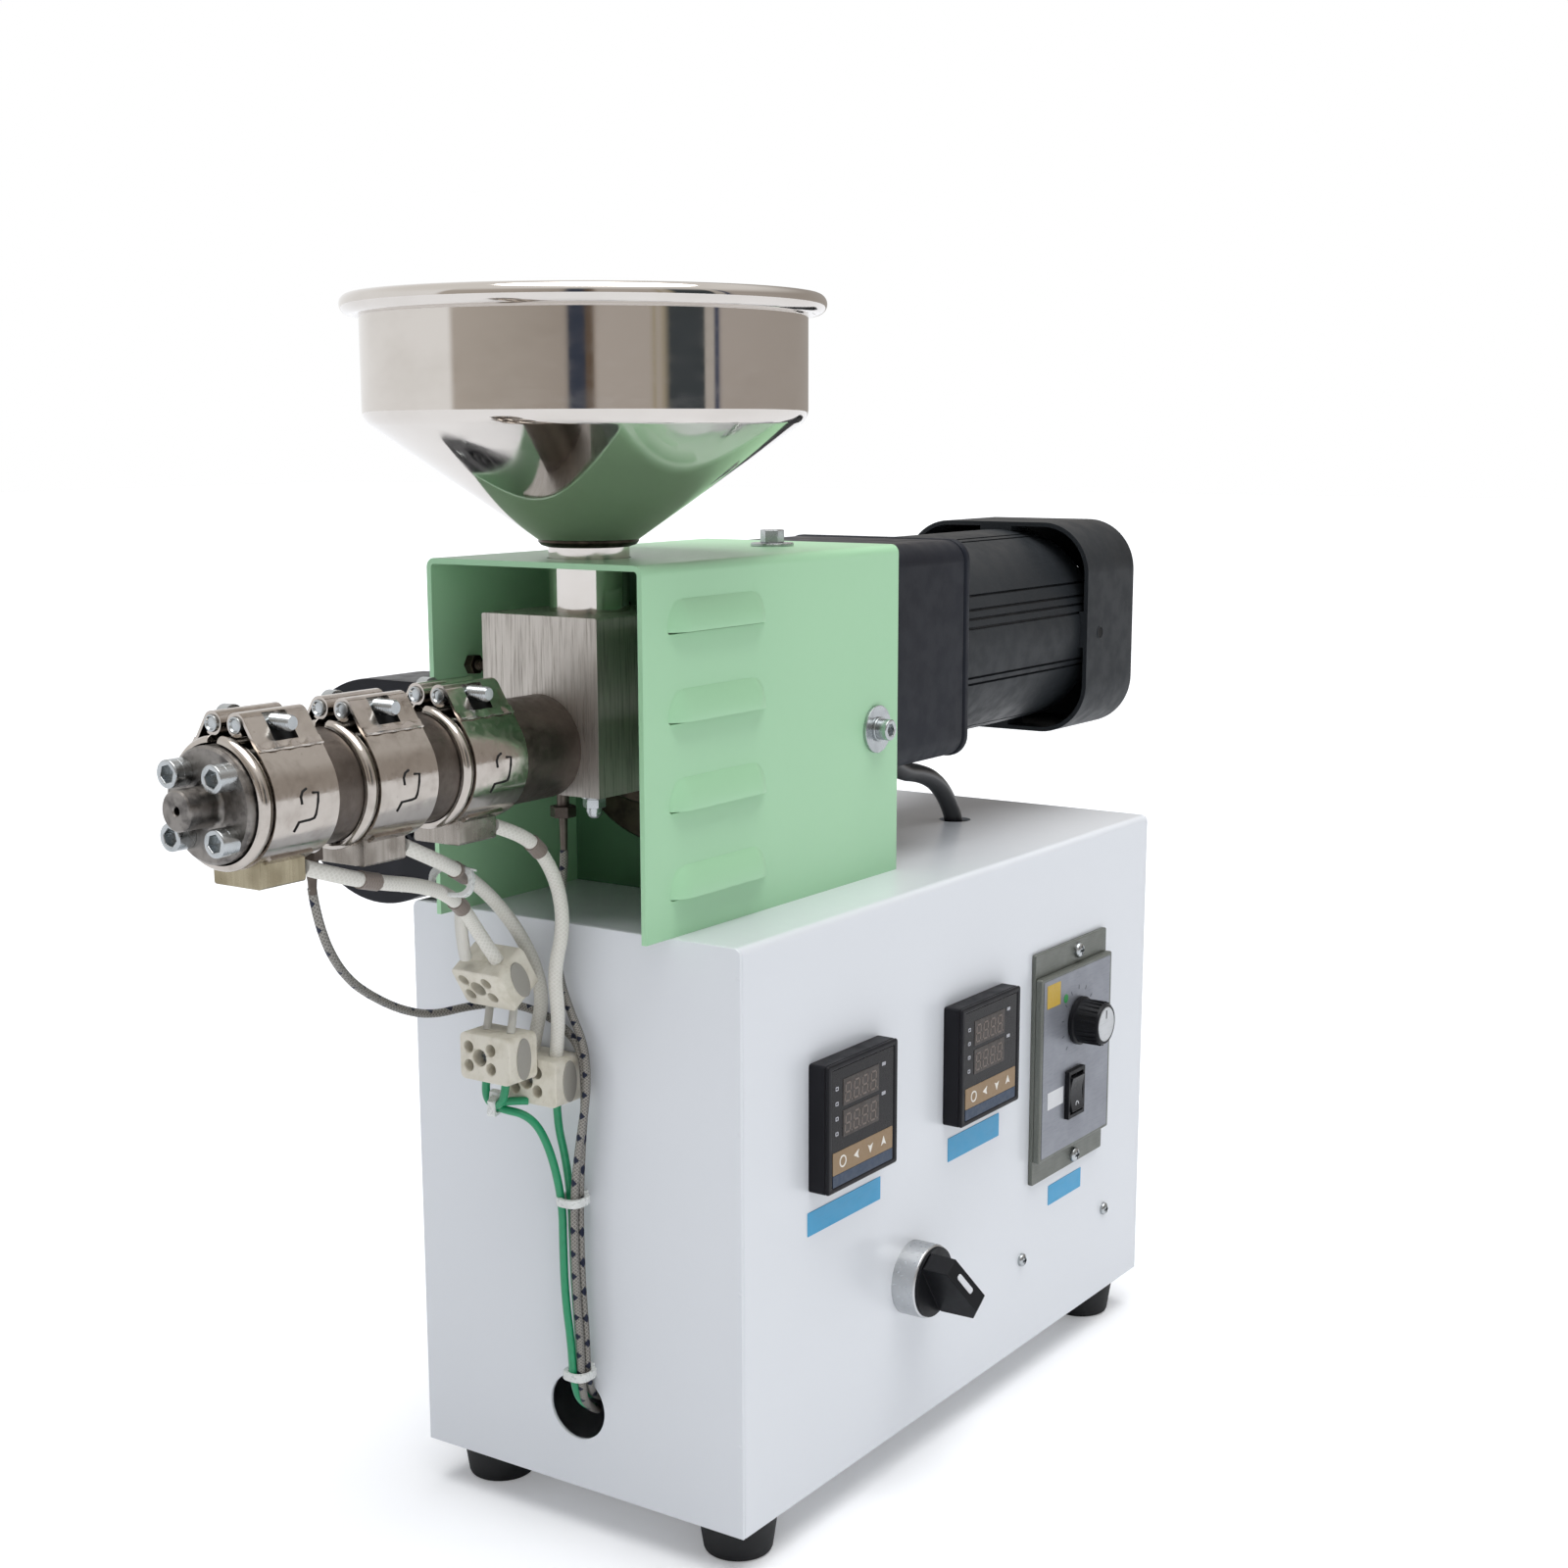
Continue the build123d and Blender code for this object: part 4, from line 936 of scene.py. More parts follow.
# Cords: the points repeat the routes of the part's source
routes = {
    "lead_1": [
        (-132.5, 68.5, 257.3), (-117.0, 69.5, 252.0), (-97.0, 72.4, 246.2), (-74.0, 76.8, 241.0),
        (-55.0, 82.5, 234.6), (-41.5, 86.5, 226.5), (-33.5, 86.8, 216.0), (-26.6, 84.8, 205.2),
    ],
    "lead_2": [
        (-89.0, 68.5, 257.3), (-73.5, 70.5, 250.5), (-56.0, 77.0, 243.5), (-36.0, 84.5, 234.0),
        (-20.5, 88.8, 223.5), (-10.5, 88.0, 211.5), (-6.3, 84.0, 198.5), (-5.8, 82.2, 186.5),
        (-7.3, 84.0, 176.0), (-8.2, 85.5, 167.0),
    ],
    "lead_3": [
        (-45.3, 68.5, 257.3), (-33.0, 68.0, 253.0), (-20.0, 69.5, 245.0), (-12.0, 68.5, 231.5),
        (-11.5, 67.0, 216.0), (-12.8, 70.8, 200.5), (-10.5, 71.0, 185.0), (-8.4, 73.6, 172.5),
        (-8.2, 74.5, 167.0),
    ],
    "link_1": [(-18.2, 84.5, 192.0), (-19.5, 83.8, 185.5), (-23.7, 82.1, 178.3)],
    "link_2": [(-18.2, 95.5, 192.0), (-19.5, 94.8, 185.5), (-23.7, 93.1, 178.3)],
    "wire_1": [
        (-23.9, 93.1, 162.5), (-24.6, 94.6, 154.5), (-22.0, 91.0, 149.5), (-15.5, 80.5, 147.0),
        (-11.5, 75.5, 135.0), (-9.0, 72.2, 115.0), (-9.6, 71.8, 96.0), (-9.4, 71.4, 78.0),
        (-9.6, 69.0, 62.0), (-9.4, 68.3, 47.0), (-5.4, 68.4, 36.5), (4.5, 70.0, 31.0),
    ],
    "wire_2": [
        (-8.2, 74.5, 152.0), (-8.0, 74.6, 143.0), (-6.0, 72.8, 130.0), (-5.0, 71.4, 114.0),
        (-4.9, 71.0, 96.0), (-4.7, 70.6, 78.0), (-4.8, 69.2, 62.0), (-4.5, 69.4, 48.0),
        (-0.8, 70.6, 38.5), (7.5, 72.3, 34.5),
    ],
    "sensor_1": [
        (-121.2, 76.8, 248.0), (-119.8, 77.2, 240.5), (-110.5, 81.5, 225.0), (-93.0, 90.5, 210.8),
        (-75.0, 97.5, 200.5), (-57.0, 102.0, 191.5), (-38.0, 105.8, 185.0), (-19.5, 105.3, 184.4),
        (-6.5, 99.5, 183.8), (-2.4, 88.5, 181.8), (-2.5, 76.5, 178.2), (-3.6, 66.6, 171.3),
        (-4.8, 64.0, 156.0), (-5.0, 65.8, 138.0), (-4.9, 67.4, 118.0), (-4.9, 67.6, 98.0),
        (-4.7, 67.2, 79.0), (-4.8, 65.8, 62.5), (-4.5, 66.0, 48.0), (-0.8, 67.0, 38.5),
        (7.5, 68.6, 34.5),
    ],
    "sensor_2": [
        (1.0, 76.5, 241.0), (0.0, 76.0, 233.0), (-4.5, 74.2, 222.5), (-6.0, 74.4, 209.5),
        (-4.6, 75.4, 196.0), (-4.4, 70.5, 184.0), (-5.2, 63.5, 172.5), (-7.0, 61.4, 157.0),
        (-8.4, 64.0, 139.0), (-8.4, 67.2, 119.0), (-8.3, 67.6, 98.0), (-8.1, 67.2, 79.0),
        (-8.2, 65.8, 62.5), (-8.0, 65.9, 46.0), (-4.4, 67.0, 35.5), (4.5, 68.6, 30.5),
    ],
    "motor_cable": [
        (187.0, 58.0, 253.2), (203.0, 60.0, 244.9), (223.4, 62.8, 241.7), (242.5, 65.3, 235.8),
        (256.1, 66.6, 225.6), (264.3, 67.0, 213.0), (267.9, 67.3, 199.5),
    ],
}


def spots(route):
    """A route's points in the frame's millimetres."""
    return [spot(*point) for point in route]


def line_of(name):
    """Points along the smooth line of a cord's route, in millimetres."""
    curve = curve_through("line", spots(routes[name]))
    return [vert.co.copy() for vert in mesh_from(curve).vertices]


class EXTRUDER_OT_cords(bpy.types.Operator):
    """Add the heater leads, sensor cables, green wires, motor cable and their ties"""
    bl_idname = "extruder.cords"
    bl_label = "Cords"

    def execute(self, context):
        white = finish(sleeve, "glass_sleeving", "#DEDCD4", "#B9B5A8", 8, 70, 0.9)
        green = finish(wire_skin, "green_insulation", tuple(scene.extruder_colours.wires), "#127A50")
        braid = finish(sleeve, "steel_braid", "#98958F", "#45423E", 6, 200, 0.45, ("#1C2236", 32), 0.6)
        black = finish(wire_skin, "black_cable_jacket", "#1A1B1E", "#25262A", 0.36)
        for names, dia, material, slot, stiffness in (
                (("lead_1", "lead_2", "lead_3"), 5.0, white, "lead_sleeve", "medium"),
                (("wire_1", "wire_2"), 3.0, green, "green_wire", "medium"),
                (("sensor_1", "sensor_2"), 3.0, braid, "braid", "limp"),
                (("motor_cable",), 8.0, black, "black_cable", "medium")):
            for name in names:
                self.add_cord(name, dia, material, slot, stiffness)
        for name in ("link_1", "link_2"):
            show(f"{name}_wire", tube(spots(routes[name]), 1.5), white, slot="lead_sleeve", replaces=name)
        self.add_sleeves()
        curl = ((-23.9, 84.5, 162.5), (-25.0, 84.0, 155.0), (-24.5, 89.0, 151.0), (-21.5, 89.0, 152.5),
                (-15.0, 82.0, 152.0))
        show("wire_curl", tube(spots(curl), 1.5), green, slot="green_wire")
        tail = ((-42, 87, 227), (-37.5, 92, 218), (-31.5, 95, 206))
        show("lead_tail", tube(spots(tail), 2.2), white, slot="lead_sleeve")
        self.add_tie("tie_on_leads", spot(-54, 80, 238.5), (19, 6, -7), 13, 7.5, 7.0)
        self.add_tie("tie_under_blocks", spot(-22.5, 91, 150.8), (3, -8, -1), 6, 4.5, 5.0)
        self.add_tie("tie_on_bundle", spot(-6.6, 69.2, 115), upward, 8, 8.5, 6.0)
        self.add_tie("tie_at_hole", spot(-6.4, 67.8, 49), upward, 8, 8.5, 6.0)
        return {"FINISHED"}

    def add_cord(self, name, dia, material, slot, stiffness):
        curve = curve_through(f"{name}_cord", [point * mm for point in spots(routes[name])], dia / 2 * mm)
        curve.materials.append(material)
        made = bpy.data.objects.new(f"{name}_cord", curve)
        scene.collection.objects.link(made)
        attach(made, "machine")
        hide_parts(name)
        line = line_of(name)

    def add_sleeves(self):
        """Woven crimp sleeves on the leads, each between two shares of its lead's length."""
        woven = finish(sleeve, "crimp_weave", "#80746B", "#5A5049", 8, 6, 0.6)
        stretches = (("lead_1", 0.18, 0.25), ("lead_1", 0.68, 0.75), ("lead_2", 0.19, 0.25),
                     ("lead_3", 0.15, 0.22))
        for number, (name, first, last) in enumerate(stretches, 1):
            points = line_of(name)
            start, end = (int(share * (len(points) - 1)) for share in (first, last))
            show(f"crimp_band_{number}", tube(points[start:end + 1], 3.0), woven, slot="lead_sleeve")

    def add_tie(self, name, place, along, wide, high, tail):
        """Cable tie: a flat strap loop round a bundle, with its square lock and a short tail."""
        line = Vector(along).normalized()
        side = line.cross(upward if abs(line.z) < 0.8 else along_x).normalized()
        corner, lock_y = min(wide, high) / 2, -high / 2 - 1.6
        loop = [oblong(wide + 2.8, high + 2.8, corner), oblong(wide, high, corner)]
        band = plate(loop, 3.0, (0, 0, -1.5), edge=0.3)
        lock = plate([oblong(3.6, 3.2, 0.4)], 4.2, (0, lock_y, -2.1), edge=0.3)
        tip = rounded([(0, -0.5), (tail, 0.8, 0.2), (tail, 1.5, 0.2), (0, 0.5)])
        end = plate([tip], 2.2, (1.2, lock_y, -1.1), edge=0.2)
        tie = moved(joined(band, lock, end), place, side, line.cross(side))
        show(name, tie, finish(clear_nylon), slot="lead_sleeve")


# Cabinet
cable_hole_dia = 25.0
cable_hole_height = 31.8
motor_hole_dia = 14.0
cabinet_sheet = 1.5
cabinet_bend = 3.0
hatch_inset = 5.0  # from the hatch's edges to its screws
foot_dia = 31.0


class EXTRUDER_OT_cabinet(bpy.types.Operator):
    """Dress the cabinet's sheets, its side hatch and feet, and add its screws and weld marks"""
    bl_idname = "extruder.cabinet"
    bl_label = "Cabinet and feet"

    def execute(self, context):
        self.add_sheets()
        self.add_feet()
        screw = pan_screw(scene.extruder_sizes.panel_screw / mm, 2.2)
        zinc = finish(bright_zinc)
        for number, (x, z) in enumerate(((207.2, 39.5), (285.7, 39.3)), 1):
            show(f"panel_screw_{number}", on_panel(screw, spot(x, 0, z)), zinc)
        low, high = span("side_hatch")
        screws = [moved(screw, (x, high.y, z), -along_x, upward)
                  for x in (low.x + hatch_inset, high.x - hatch_inset)
                  for z in (low.z + hatch_inset, high.z - hatch_inset)]
        show("hatch_screws", joined(*screws), zinc)
        bead = turned([(0, 0), (1.1, 0), (0.7, 0.35), (0, 0.5)], steps=12)
        beads = [moved(bead, spot(0.25, 1.0, z), along_y, -upward) for z in (35, 92, 150, 205)]
        show("weld_marks", joined(*beads), finish(white_powder_coat))
        return {"FINISHED"}

    def add_sheet(self, node, mesh):
        """One white sheet that stands for a CAD node."""
        show(f"{node}_sheet", mesh, finish(white_powder_coat), slot="white_paint", replaces=node)

    def add_sheets(self):
        """Bent cover, two ends, base and side hatch, with their edges rounded by the thick coat."""
        low, high = span("cabinet_front_end")
        half, tall, bottom = (high.y - low.y) / 2, high.z - low.z, low.z
        middle = middle_of("cabinet_front_end").y
        end = rounded([(-half, 0), (half, 0), (half, tall, cabinet_bend), (-half, tall, cabinet_bend)])
        cable_hole = ring(cable_hole_dia / 2, (0, cable_hole_height))
        for node, loops in (("cabinet_front_end", [end, cable_hole]), ("cabinet_rear_end", [end])):
            low, high = span(node)
            self.add_sheet(node, plate(loops, high.x - low.x, (low.x, middle, bottom), along_y, upward, 0.4))
        side, top, bend = (size - cabinet_sheet for size in (half, tall, cabinet_bend))
        fold = rounded([(-half, 0), (-half, tall, cabinet_bend), (half, tall, cabinet_bend), (half, 0),
                        (side, 0), (side, top, bend), (-side, top, bend), (-side, 0)])
        low, high = span("cabinet_cover")
        cover = plate([fold], high.x - low.x, (low.x, middle, bottom), along_y, upward, 0.3)
        motor_hole = [(0, -3), (motor_hole_dia / 2, -3), (motor_hole_dia / 2, 3), (0, 3)]
        motor_hole_spot = spot(264, 67, cabinet_top - cabinet_bottom)
        self.add_sheet("cabinet_cover", cut(cover, turned(motor_hole, motor_hole_spot, steps=48)))
        low, high = span("cabinet_base")
        x, y = middle_of("cabinet_base").xy
        base = oblong(high.x - low.x, high.y - low.y, 0.5)
        self.add_sheet("cabinet_base", plate([base], high.z - low.z, (x, y, low.z), edge=0.4))
        low, high = span("side_hatch")
        x, z = middle_of("side_hatch").xz
        hatch = oblong(high.x - low.x, high.z - low.z, 3)
        self.add_sheet("side_hatch", plate([hatch], high.y - low.y, (x, low.y, z), -along_x, upward, 0.4))

    def add_feet(self):
        """Tapered rubber feet with a rounded sole and a washer in the hollow below."""
        low, high = span("feet")
        radius, tall = foot_dia / 2, high.z
        profile = [(0, 2.5), (5, 2.5), (5.6, 0.6), (7, 0), (11.2, 0), (12.3, 0.5), (12.8, 1.6), (13.4, 5.4),
                   (14.6, tall - 3.2), (15.1, tall - 1.6), (radius, tall - 1.0), (radius, tall), (0, tall)]
        foot = turned(profile, steps=64)
        inner = moved(washer(9, 4, 1.2), (0, 0, 1.4))
        spread = [(x, y, 0) for x in (low.x + radius, high.x - radius)
                  for y in (low.y + radius, high.y - radius)]
        show("rubber_feet", joined(*[moved(foot, place) for place in spread]), finish(moulded_rubber),
             slot="black_rubber", replaces="feet", bevel=0.3)
        show("foot_washers", joined(*[moved(inner, place) for place in spread]), finish(bright_zinc))


# Guard
louvre_count = 4
louvre_pitch = 30.5
louvre_length = 58.0
louvre_height = 11.0
louvre_depth = 4.0
louvre_low = 13.5
louvre_setback = 14.0
louvre_end = 9.0
louvre_steps = 14  # across a louvre, and along each of its ends
bend_steps = 8
slot_drop = 0.7
guard_sheet = 2.0
guard_bend = 3.4
guard_length = 164.0
side_room = 6.0  # within this of a side, a face counts as the side's and not the top's
wall_setback = 78.0  # from the guard's open front to the wall that carries the bearing
throat_radius = 14.8


class EXTRUDER_OT_guard(bpy.types.Operator):
    """Add the green guard with its pressed louvres, its walls and its bolts"""
    bl_idname = "extruder.guard"
    bl_label = "Guard"

    def execute(self, context):
        # The second finish is the mint coat darkened as painted shade, for the faces inside the guard.
        green, thin = finish(mint_powder_coat), finish(shaded_mint_coat)
        low, high = span("bearing_wall")
        self.near, self.far = low.y - guard_sheet, high.y + guard_sheet
        self.front, self.bottom, self.top = low.x - wall_setback, low.z, high.z + guard_sheet
        cover = self.cover_mesh()
        middle = (self.near + self.far) / 2
        # Faces that look into the guard take the darker mint: painted shade where little light reaches.
        for face in cover.polygons:
            on_side = abs(face.center.y - middle) > (self.far - self.near) / 2 - side_room
            outwards = face.normal.y * (1 if face.center.y > middle else -1) if on_side else face.normal.z
            face.material_index = 1 if outwards < -0.5 else 0
        show("guard_with_louvres", cover, green, slot="green_paint", replaces="guard_cover", bevel=0.35,
             angle=40, more=(thin,))
        # The bearing wall inside the guard takes the painted shade too.
        dressed("bearing_wall", thin, "green_paint", 0.3)
        dressed("motor_plate", green, "green_paint", 0.3)
        self.add_bolts()
        return {"FINISHED"}

    def bulge(self, x, z):
        """How far a louvre stands out of the near side at a place, and 0 away from the louvres."""
        along = x - self.front - louvre_setback
        to_end = max(0, 1 - min(along, louvre_length - along) / louvre_end)
        for step in range(louvre_count):
            rise = (z - self.bottom - louvre_low - step * louvre_pitch) / louvre_height
            reach = sqrt(to_end ** 2 + rise ** 2)
            if -1e-6 < rise <= 1 and reach < 1:
                return louvre_depth * cos(reach * pi / 2) ** 0.75
        return 0

    def cover_mesh(self):
        """Cover bent from one sheet: rows of points up the near side, over the top and down the far side."""
        path, rims = [(self.near, self.bottom)], set()
        for step in range(louvre_count):
            lip = self.bottom + louvre_low + step * louvre_pitch
            path += [(self.near, lip - 3), (self.near, lip)]
            rims.add(len(path) - 1)
            path += [(self.near, lip + louvre_height * rise / louvre_steps)
                     for rise in range(louvre_steps + 1)]
        bend_z = self.top - guard_bend
        for bend_y, start in ((self.near + guard_bend, pi), (self.far - guard_bend, pi / 2)):
            turns = [start - turn * pi / 2 / bend_steps for turn in range(bend_steps + 1)]
            path += [(bend_y + guard_bend * cos(turn), bend_z + guard_bend * sin(turn)) for turn in turns]
        path.append((self.far, self.bottom))
        ends = [louvre_end * (1 - cos(turn * pi / 2 / louvre_steps)) for turn in range(louvre_steps + 1)]
        straight = [louvre_end + (louvre_length - 2 * louvre_end) * step / 8 for step in range(1, 8)]
        first = self.front + louvre_setback
        other_ends = [louvre_length - end for end in reversed(ends)]
        stations = [first + along for along in (*ends, *straight, *other_ends)]

        def in_slot(x, at):
            """The strip below each louvre's lower edge is left out as its slot."""
            return at in rims

        def pressed(x, at):
            """A louvre bulges out, and the rim of the sheet below it drops to open its slot."""
            y, z = path[at]
            if at in rims:
                return 0, -slot_drop * min(1, max(0, min(x - first, first + louvre_length - x)))
            return -self.bulge(x, z) if y == self.near else 0, 0

        sheet = folded(path, [self.front, *stations, self.front + guard_length], guard_sheet, skip=in_slot,
                       shift=pressed, even=False)
        hole = [(0, -6), (throat_radius, -6), (throat_radius, 6), (0, 6)]
        return cut(sheet, turned(hole, (throat_x, axis_y, self.top), steps=64))

    def add_bolts(self):
        """Bolt on the top, a screw with two washers on each side, and the bolt inside the open front."""
        zinc = finish(bright_zinc)
        top_bolt = joined(washer(16.5, 5.2, 1.2), moved(hex_bolt(8.0, 5.0), (0, 0, 1.2)))
        show("guard_top_bolt", moved(top_bolt, spot(114.9, 64.4, self.top - cabinet_bottom)), zinc, bevel=0.1)
        side = joined(washer(scene.extruder_sizes.washer / mm, 6, 1.4),
                      moved(washer(9.5, 6, 1.0), (0, 0, 1.4)),
                      moved(socket_screw(8.2, 4.6, 4.4), (0, 0, 2.4)))
        place = spot(133.8, 0, 272.9)
        for name, y, right in (("side", self.near, along_x), ("far", self.far, -along_x)):
            show(f"guard_{name}_screw", moved(side, (place.x, y, place.z), right, upward), zinc, bevel=0.1)
        stub = on_panel(hex_bolt(6.5, 3.5, 5, 4.2), spot(5.4, 122, 304))
        show("guard_inner_bolt", stub, finish(oiled_steel), bevel=0.1)


# Feed block
bearing_hub_radius = 28.0
flange_radius = 45.0
flange_thick = 6.0


class EXTRUDER_OT_feed(bpy.types.Operator):
    """Dress the feed block, bearing housing and screw, and add the probes under them"""
    bl_idname = "extruder.feed"
    bl_label = "Feed block"

    def execute(self, context):
        zinc = finish(bright_zinc)
        dressed("feed_block", finish(ground_steel), "brushed_steel", 0.4)
        low, high = span("bearing_housing")
        long, hub, rim = high.x - low.x, bearing_hub_radius, flange_radius
        back = long - flange_thick
        profile = [(0, 0), (hub - 0.8, 0), (hub, 0.8), (hub, back - 0.4), (hub + 0.6, back),
                   (rim - 0.8, back), (rim, back + 0.8), (rim, long), (0, long)]
        show("bearing_flange", turned(profile, on_axis(low.x), along_x, 128), finish(oiled_steel),
             slot="dark_steel", replaces="bearing_housing")
        bolts = copies(ring_tree, socket_screw(8.5, 4.6, 4.0), zinc, Count=6, Radius=36.5, Start=radians(30))
        show("flange_bolts", moved(bolts, on_axis(low.x + back), along_y, -upward), zinc, bevel=0.1)
        dressed("extrusion_screw", finish(ground_steel), "brushed_steel", 0)
        self.add_probes()
        nut = joined(washer(9, 4, 0.8), moved(hex_bolt(7, 3.4), (0, 0, 0.8)),
                     turned([(0, 4), (2.9, 4), (2.9, 5.4), (2.3, 7), (1.2, 7.9), (0, 8.1)], steps=32))
        corner = span("feed_block")[0]
        show("acorn_nut", moved(nut, corner + Vector((6, 7, 0)), along_x, -along_y), zinc, bevel=0.1)
        return {"FINISHED"}

    def add_probes(self):
        """Screw-in temperature probes: a small hexagon on a stem that tapers to its cable."""
        for number, hexagon, drop in ((1, 6.5, 0.5), (2, 8.0, 6.0)):
            node = f"thermocouple_{number}"
            top = middle_of(node)
            top.z = span(node)[1].z
            long = top.z - spots(routes[f"sensor_{number}"])[0].z + 2
            collar = plate([ring(hexagon / sqrt(3), steps=6)], 4, (0, 0, drop), edge=0.3)
            neck = turned([(0, 0), (2.2, 0), (2.2, 7), (1.5, 11), (1.2, long), (0, long)], steps=32)
            show(f"probe_{number}", moved(joined(neck, collar), top, along_x, -along_y),
                 finish(heat_browned_steel), slot="brushed_steel", replaces=node)


# Barrel and die
class EXTRUDER_OT_barrel(bpy.types.Operator):
    """Add the barrel and the die with its nozzle and screws"""
    bl_idname = "extruder.barrel"
    bl_label = "Barrel and die"

    def execute(self, context):
        low, high = span("barrel")
        outer, bore, spigot = (high.z - low.z) / 2, 10.3, 13
        block, long = span("feed_block")[0].x - low.x, high.x - low.x
        profile = [(bore, 0), (outer - 0.6, 0), (outer, 0.6), (outer, block), (spigot, block), (spigot, long),
                   (bore, long)]
        show("turned_barrel", turned(profile, on_axis(low.x), along_x, 128), finish(heat_browned_steel),
             slot="dark_steel", replaces="barrel")
        self.add_die(low.x, outer)
        return {"FINISHED"}

    def add_die(self, x_die, outer):
        """Round die plate with a nozzle that rises from it in a fillet, and its four screws."""
        thick, reach, tip, bore, root = 6.5, 11.8, 6.2, 1.25, 1.6
        end = thick + reach
        fillet = [(tip + root * (1 - sin(turn * pi / 12)), thick + root * (1 - cos(turn * pi / 12)))
                  for turn in range(7)]
        profile = [(bore, 0), (outer - 0.3, 0), (outer - 0.3, thick - 0.8), (outer - 1.1, thick), *fillet,
                   (tip, end - 0.5), (tip - 0.5, end), (bore + 0.4, end), (bore, end - 0.4)]
        show("die_with_nozzle", turned(profile, on_axis(x_die), -along_x, 128), finish(machined_die_steel),
             slot="dark_steel", replaces="die")
        sizes = scene.extruder_sizes
        zinc = finish(bright_zinc)
        screws = copies(ring_tree, socket_screw(sizes.die_screw / mm, 6.5, 4.9), zinc, Count=4,
                        Radius=sizes.die_circle / mm / 2, Start=radians(45))
        show("die_screws", moved(screws, on_axis(x_die - thick), -along_y, upward), zinc, bevel=0.12)


# Heater bands
band_width = 28.5
band_inner = 18.3
band_outer = 19.2
bead_half = 2.15
bead_high = 2.0
strap_radius = 19.35
strap_sheet = 1.0
loop_side = 5.0
loop_rise = 23.2
loop_outer = 3.7
nut_radius = 2.65
strap_start = 2.8  # from the band's nozzle side to the strap's edge
strap_middle = (strap_start + band_width) / 2
slot_half = 4.75
key_slits = (  # places along the band and round it, in millimetres from the band's edge and the axis height
    ((13.1, -0.2), (12.8, 2.0), (13.7, 3.5), (15.4, 4.2)),
    ((17.7, 2.7), (19.9, 2.5), (19.6, 0.0), (18.9, -4.1), (18.4, -5.1), (16.9, -5.4)),
    ((16.9, -5.4), (12.3, -5.6), (11.9, -6.5), (11.0, -8.6)),
)


class EXTRUDER_OT_bands(bpy.types.Operator):
    """Add the three heater bands with their straps, barrel nuts, clamp screws and terminal boxes"""
    bl_idname = "extruder.bands"
    bl_label = "Heater bands"

    def execute(self, context):
        steel, zinc, dark = finish(rolled_stainless), finish(bright_zinc), finish(dark_void)
        brassy = finish(brushed_box, "brassy_box_steel", "#A39A83", "#7A705A")
        grey = finish(brushed_box, "grey_box_steel", "#A29C95", "#6E675F")
        bare = (("barrel_nuts", self.nut_mesh(), zinc, 35), ("clamp_screw", self.screw_mesh(), zinc, 35),
                ("strap_flap", self.flap_mesh(), steel, 50), ("key_slits", self.key_mesh(), dark, 35),
                ("slot_shade", self.shade_mesh(), dark, 35), ("box_flange", self.lip_mesh(), steel, 50))
        ring_mesh, strap_mesh = self.ring_mesh(), self.strap_mesh()
        for number, box in enumerate((brassy, grey, grey), 1):
            place = on_axis(span(f"heater_band_{number}")[0].x)
            show(f"band_ring_{number}", moved(ring_mesh, place), steel, slot="stainless",
                 replaces=f"heater_band_{number}", bevel=0.12)
            show(f"band_strap_{number}", moved(strap_mesh, place), steel, slot="stainless",
                 replaces=f"band_clamp_{number}", angle=50)
            for name, mesh, material, angle in bare:
                show(f"{name}_{number}", moved(mesh, place), material, angle=angle)
            dressed(f"terminal_box_{number}", box, "stainless", 0.3)
        return {"FINISHED"}

    def ring_mesh(self):
        """Split inner ring with a wide rolled bead at its nozzle side."""
        bead = [(band_inner + 0.1 + bead_high * sin(turn * pi / 14), 0.05 - bead_half * cos(turn * pi / 14))
                for turn in range(15)]
        outer = band_outer - 0.25
        profile = [(band_inner, -bead_half), *bead, (band_inner + 0.1, strap_start), (outer, strap_start),
                   (outer, band_width), (band_inner, band_width)]
        gap = atan2(2.1, band_outer)
        return turned(profile, along=along_x, steps=120, start=pi / 2 + gap, sweep=2 * (pi - gap))

    def half_path(self):
        """Path of the near half of the strap: round the nut, down the slope and round the band to its bottom.

        It comes with the place in the path where the loop turns into the slope.
        """
        centre = Vector((loop_side, loop_rise))
        lean = atan2(centre.y, centre.x) - acos((strap_radius + strap_sheet - loop_outer) / centre.length)
        points = [centre + (loop_outer - strap_sheet) * Vector((cos(turn), sin(turn)))
                  for turn in (lean + pi * 1.55 * (1 - step / 24) for step in range(25))]
        join = len(points)
        first = points[-1]
        tangent = strap_radius * Vector((cos(lean), sin(lean)))
        points += [first.lerp(tangent, step / 8) for step in range(1, 9)]
        points += [strap_radius * Vector((cos(turn), sin(turn)))
                   for turn in (lean + (-pi / 2 - lean) * step / 40 for step in range(1, 41))]
        return points, join

    def strap_mesh(self):
        """Strap with a loop at each end, slotted where the loops turn into the slopes."""
        points, join = self.half_path()
        across_slot = [strap_middle + step for step in (-slot_half, -1.6, 1.6, slot_half)]
        stations = [strap_start, 3.1, 6, 8.5, *across_slot, 23, 25.5, band_width - 0.3, band_width]

        def in_slot(x, at):
            """The strap is open where its loop meets its slope."""
            return abs(x - strap_middle) < slot_half and join - 3 <= at < join + 3

        path = [(-point.x, point.y) for point in points]
        return both_sides(folded(path, stations, strap_sheet, skip=in_slot), 2e-3)

    def flap_mesh(self):
        """Second layer under the slot, whose wavy lower edge stands a little off the strap."""
        points, join = self.half_path()
        off = (points[join] - points[join + 1]).orthogonal().normalized()
        off = off if off.x > 0 else -off
        path = [points[at] + off * (strap_sheet + 0.02) for at in range(join + 3, join + 5)]
        path.append(path[-1] + (path[-1] - path[-2]) * 0.4 + off * 0.5)
        stations = [2.9 + (band_width - 3.1) * step / 16 for step in range(17)]

        def wave(x, at):
            """The flap's lower edge waves out and in."""
            return (-0.25 * sin(x * 0.9) if at else 0), 0

        return both_sides(folded([(-point.x, point.y) for point in path], stations, 0.6, shift=wave))

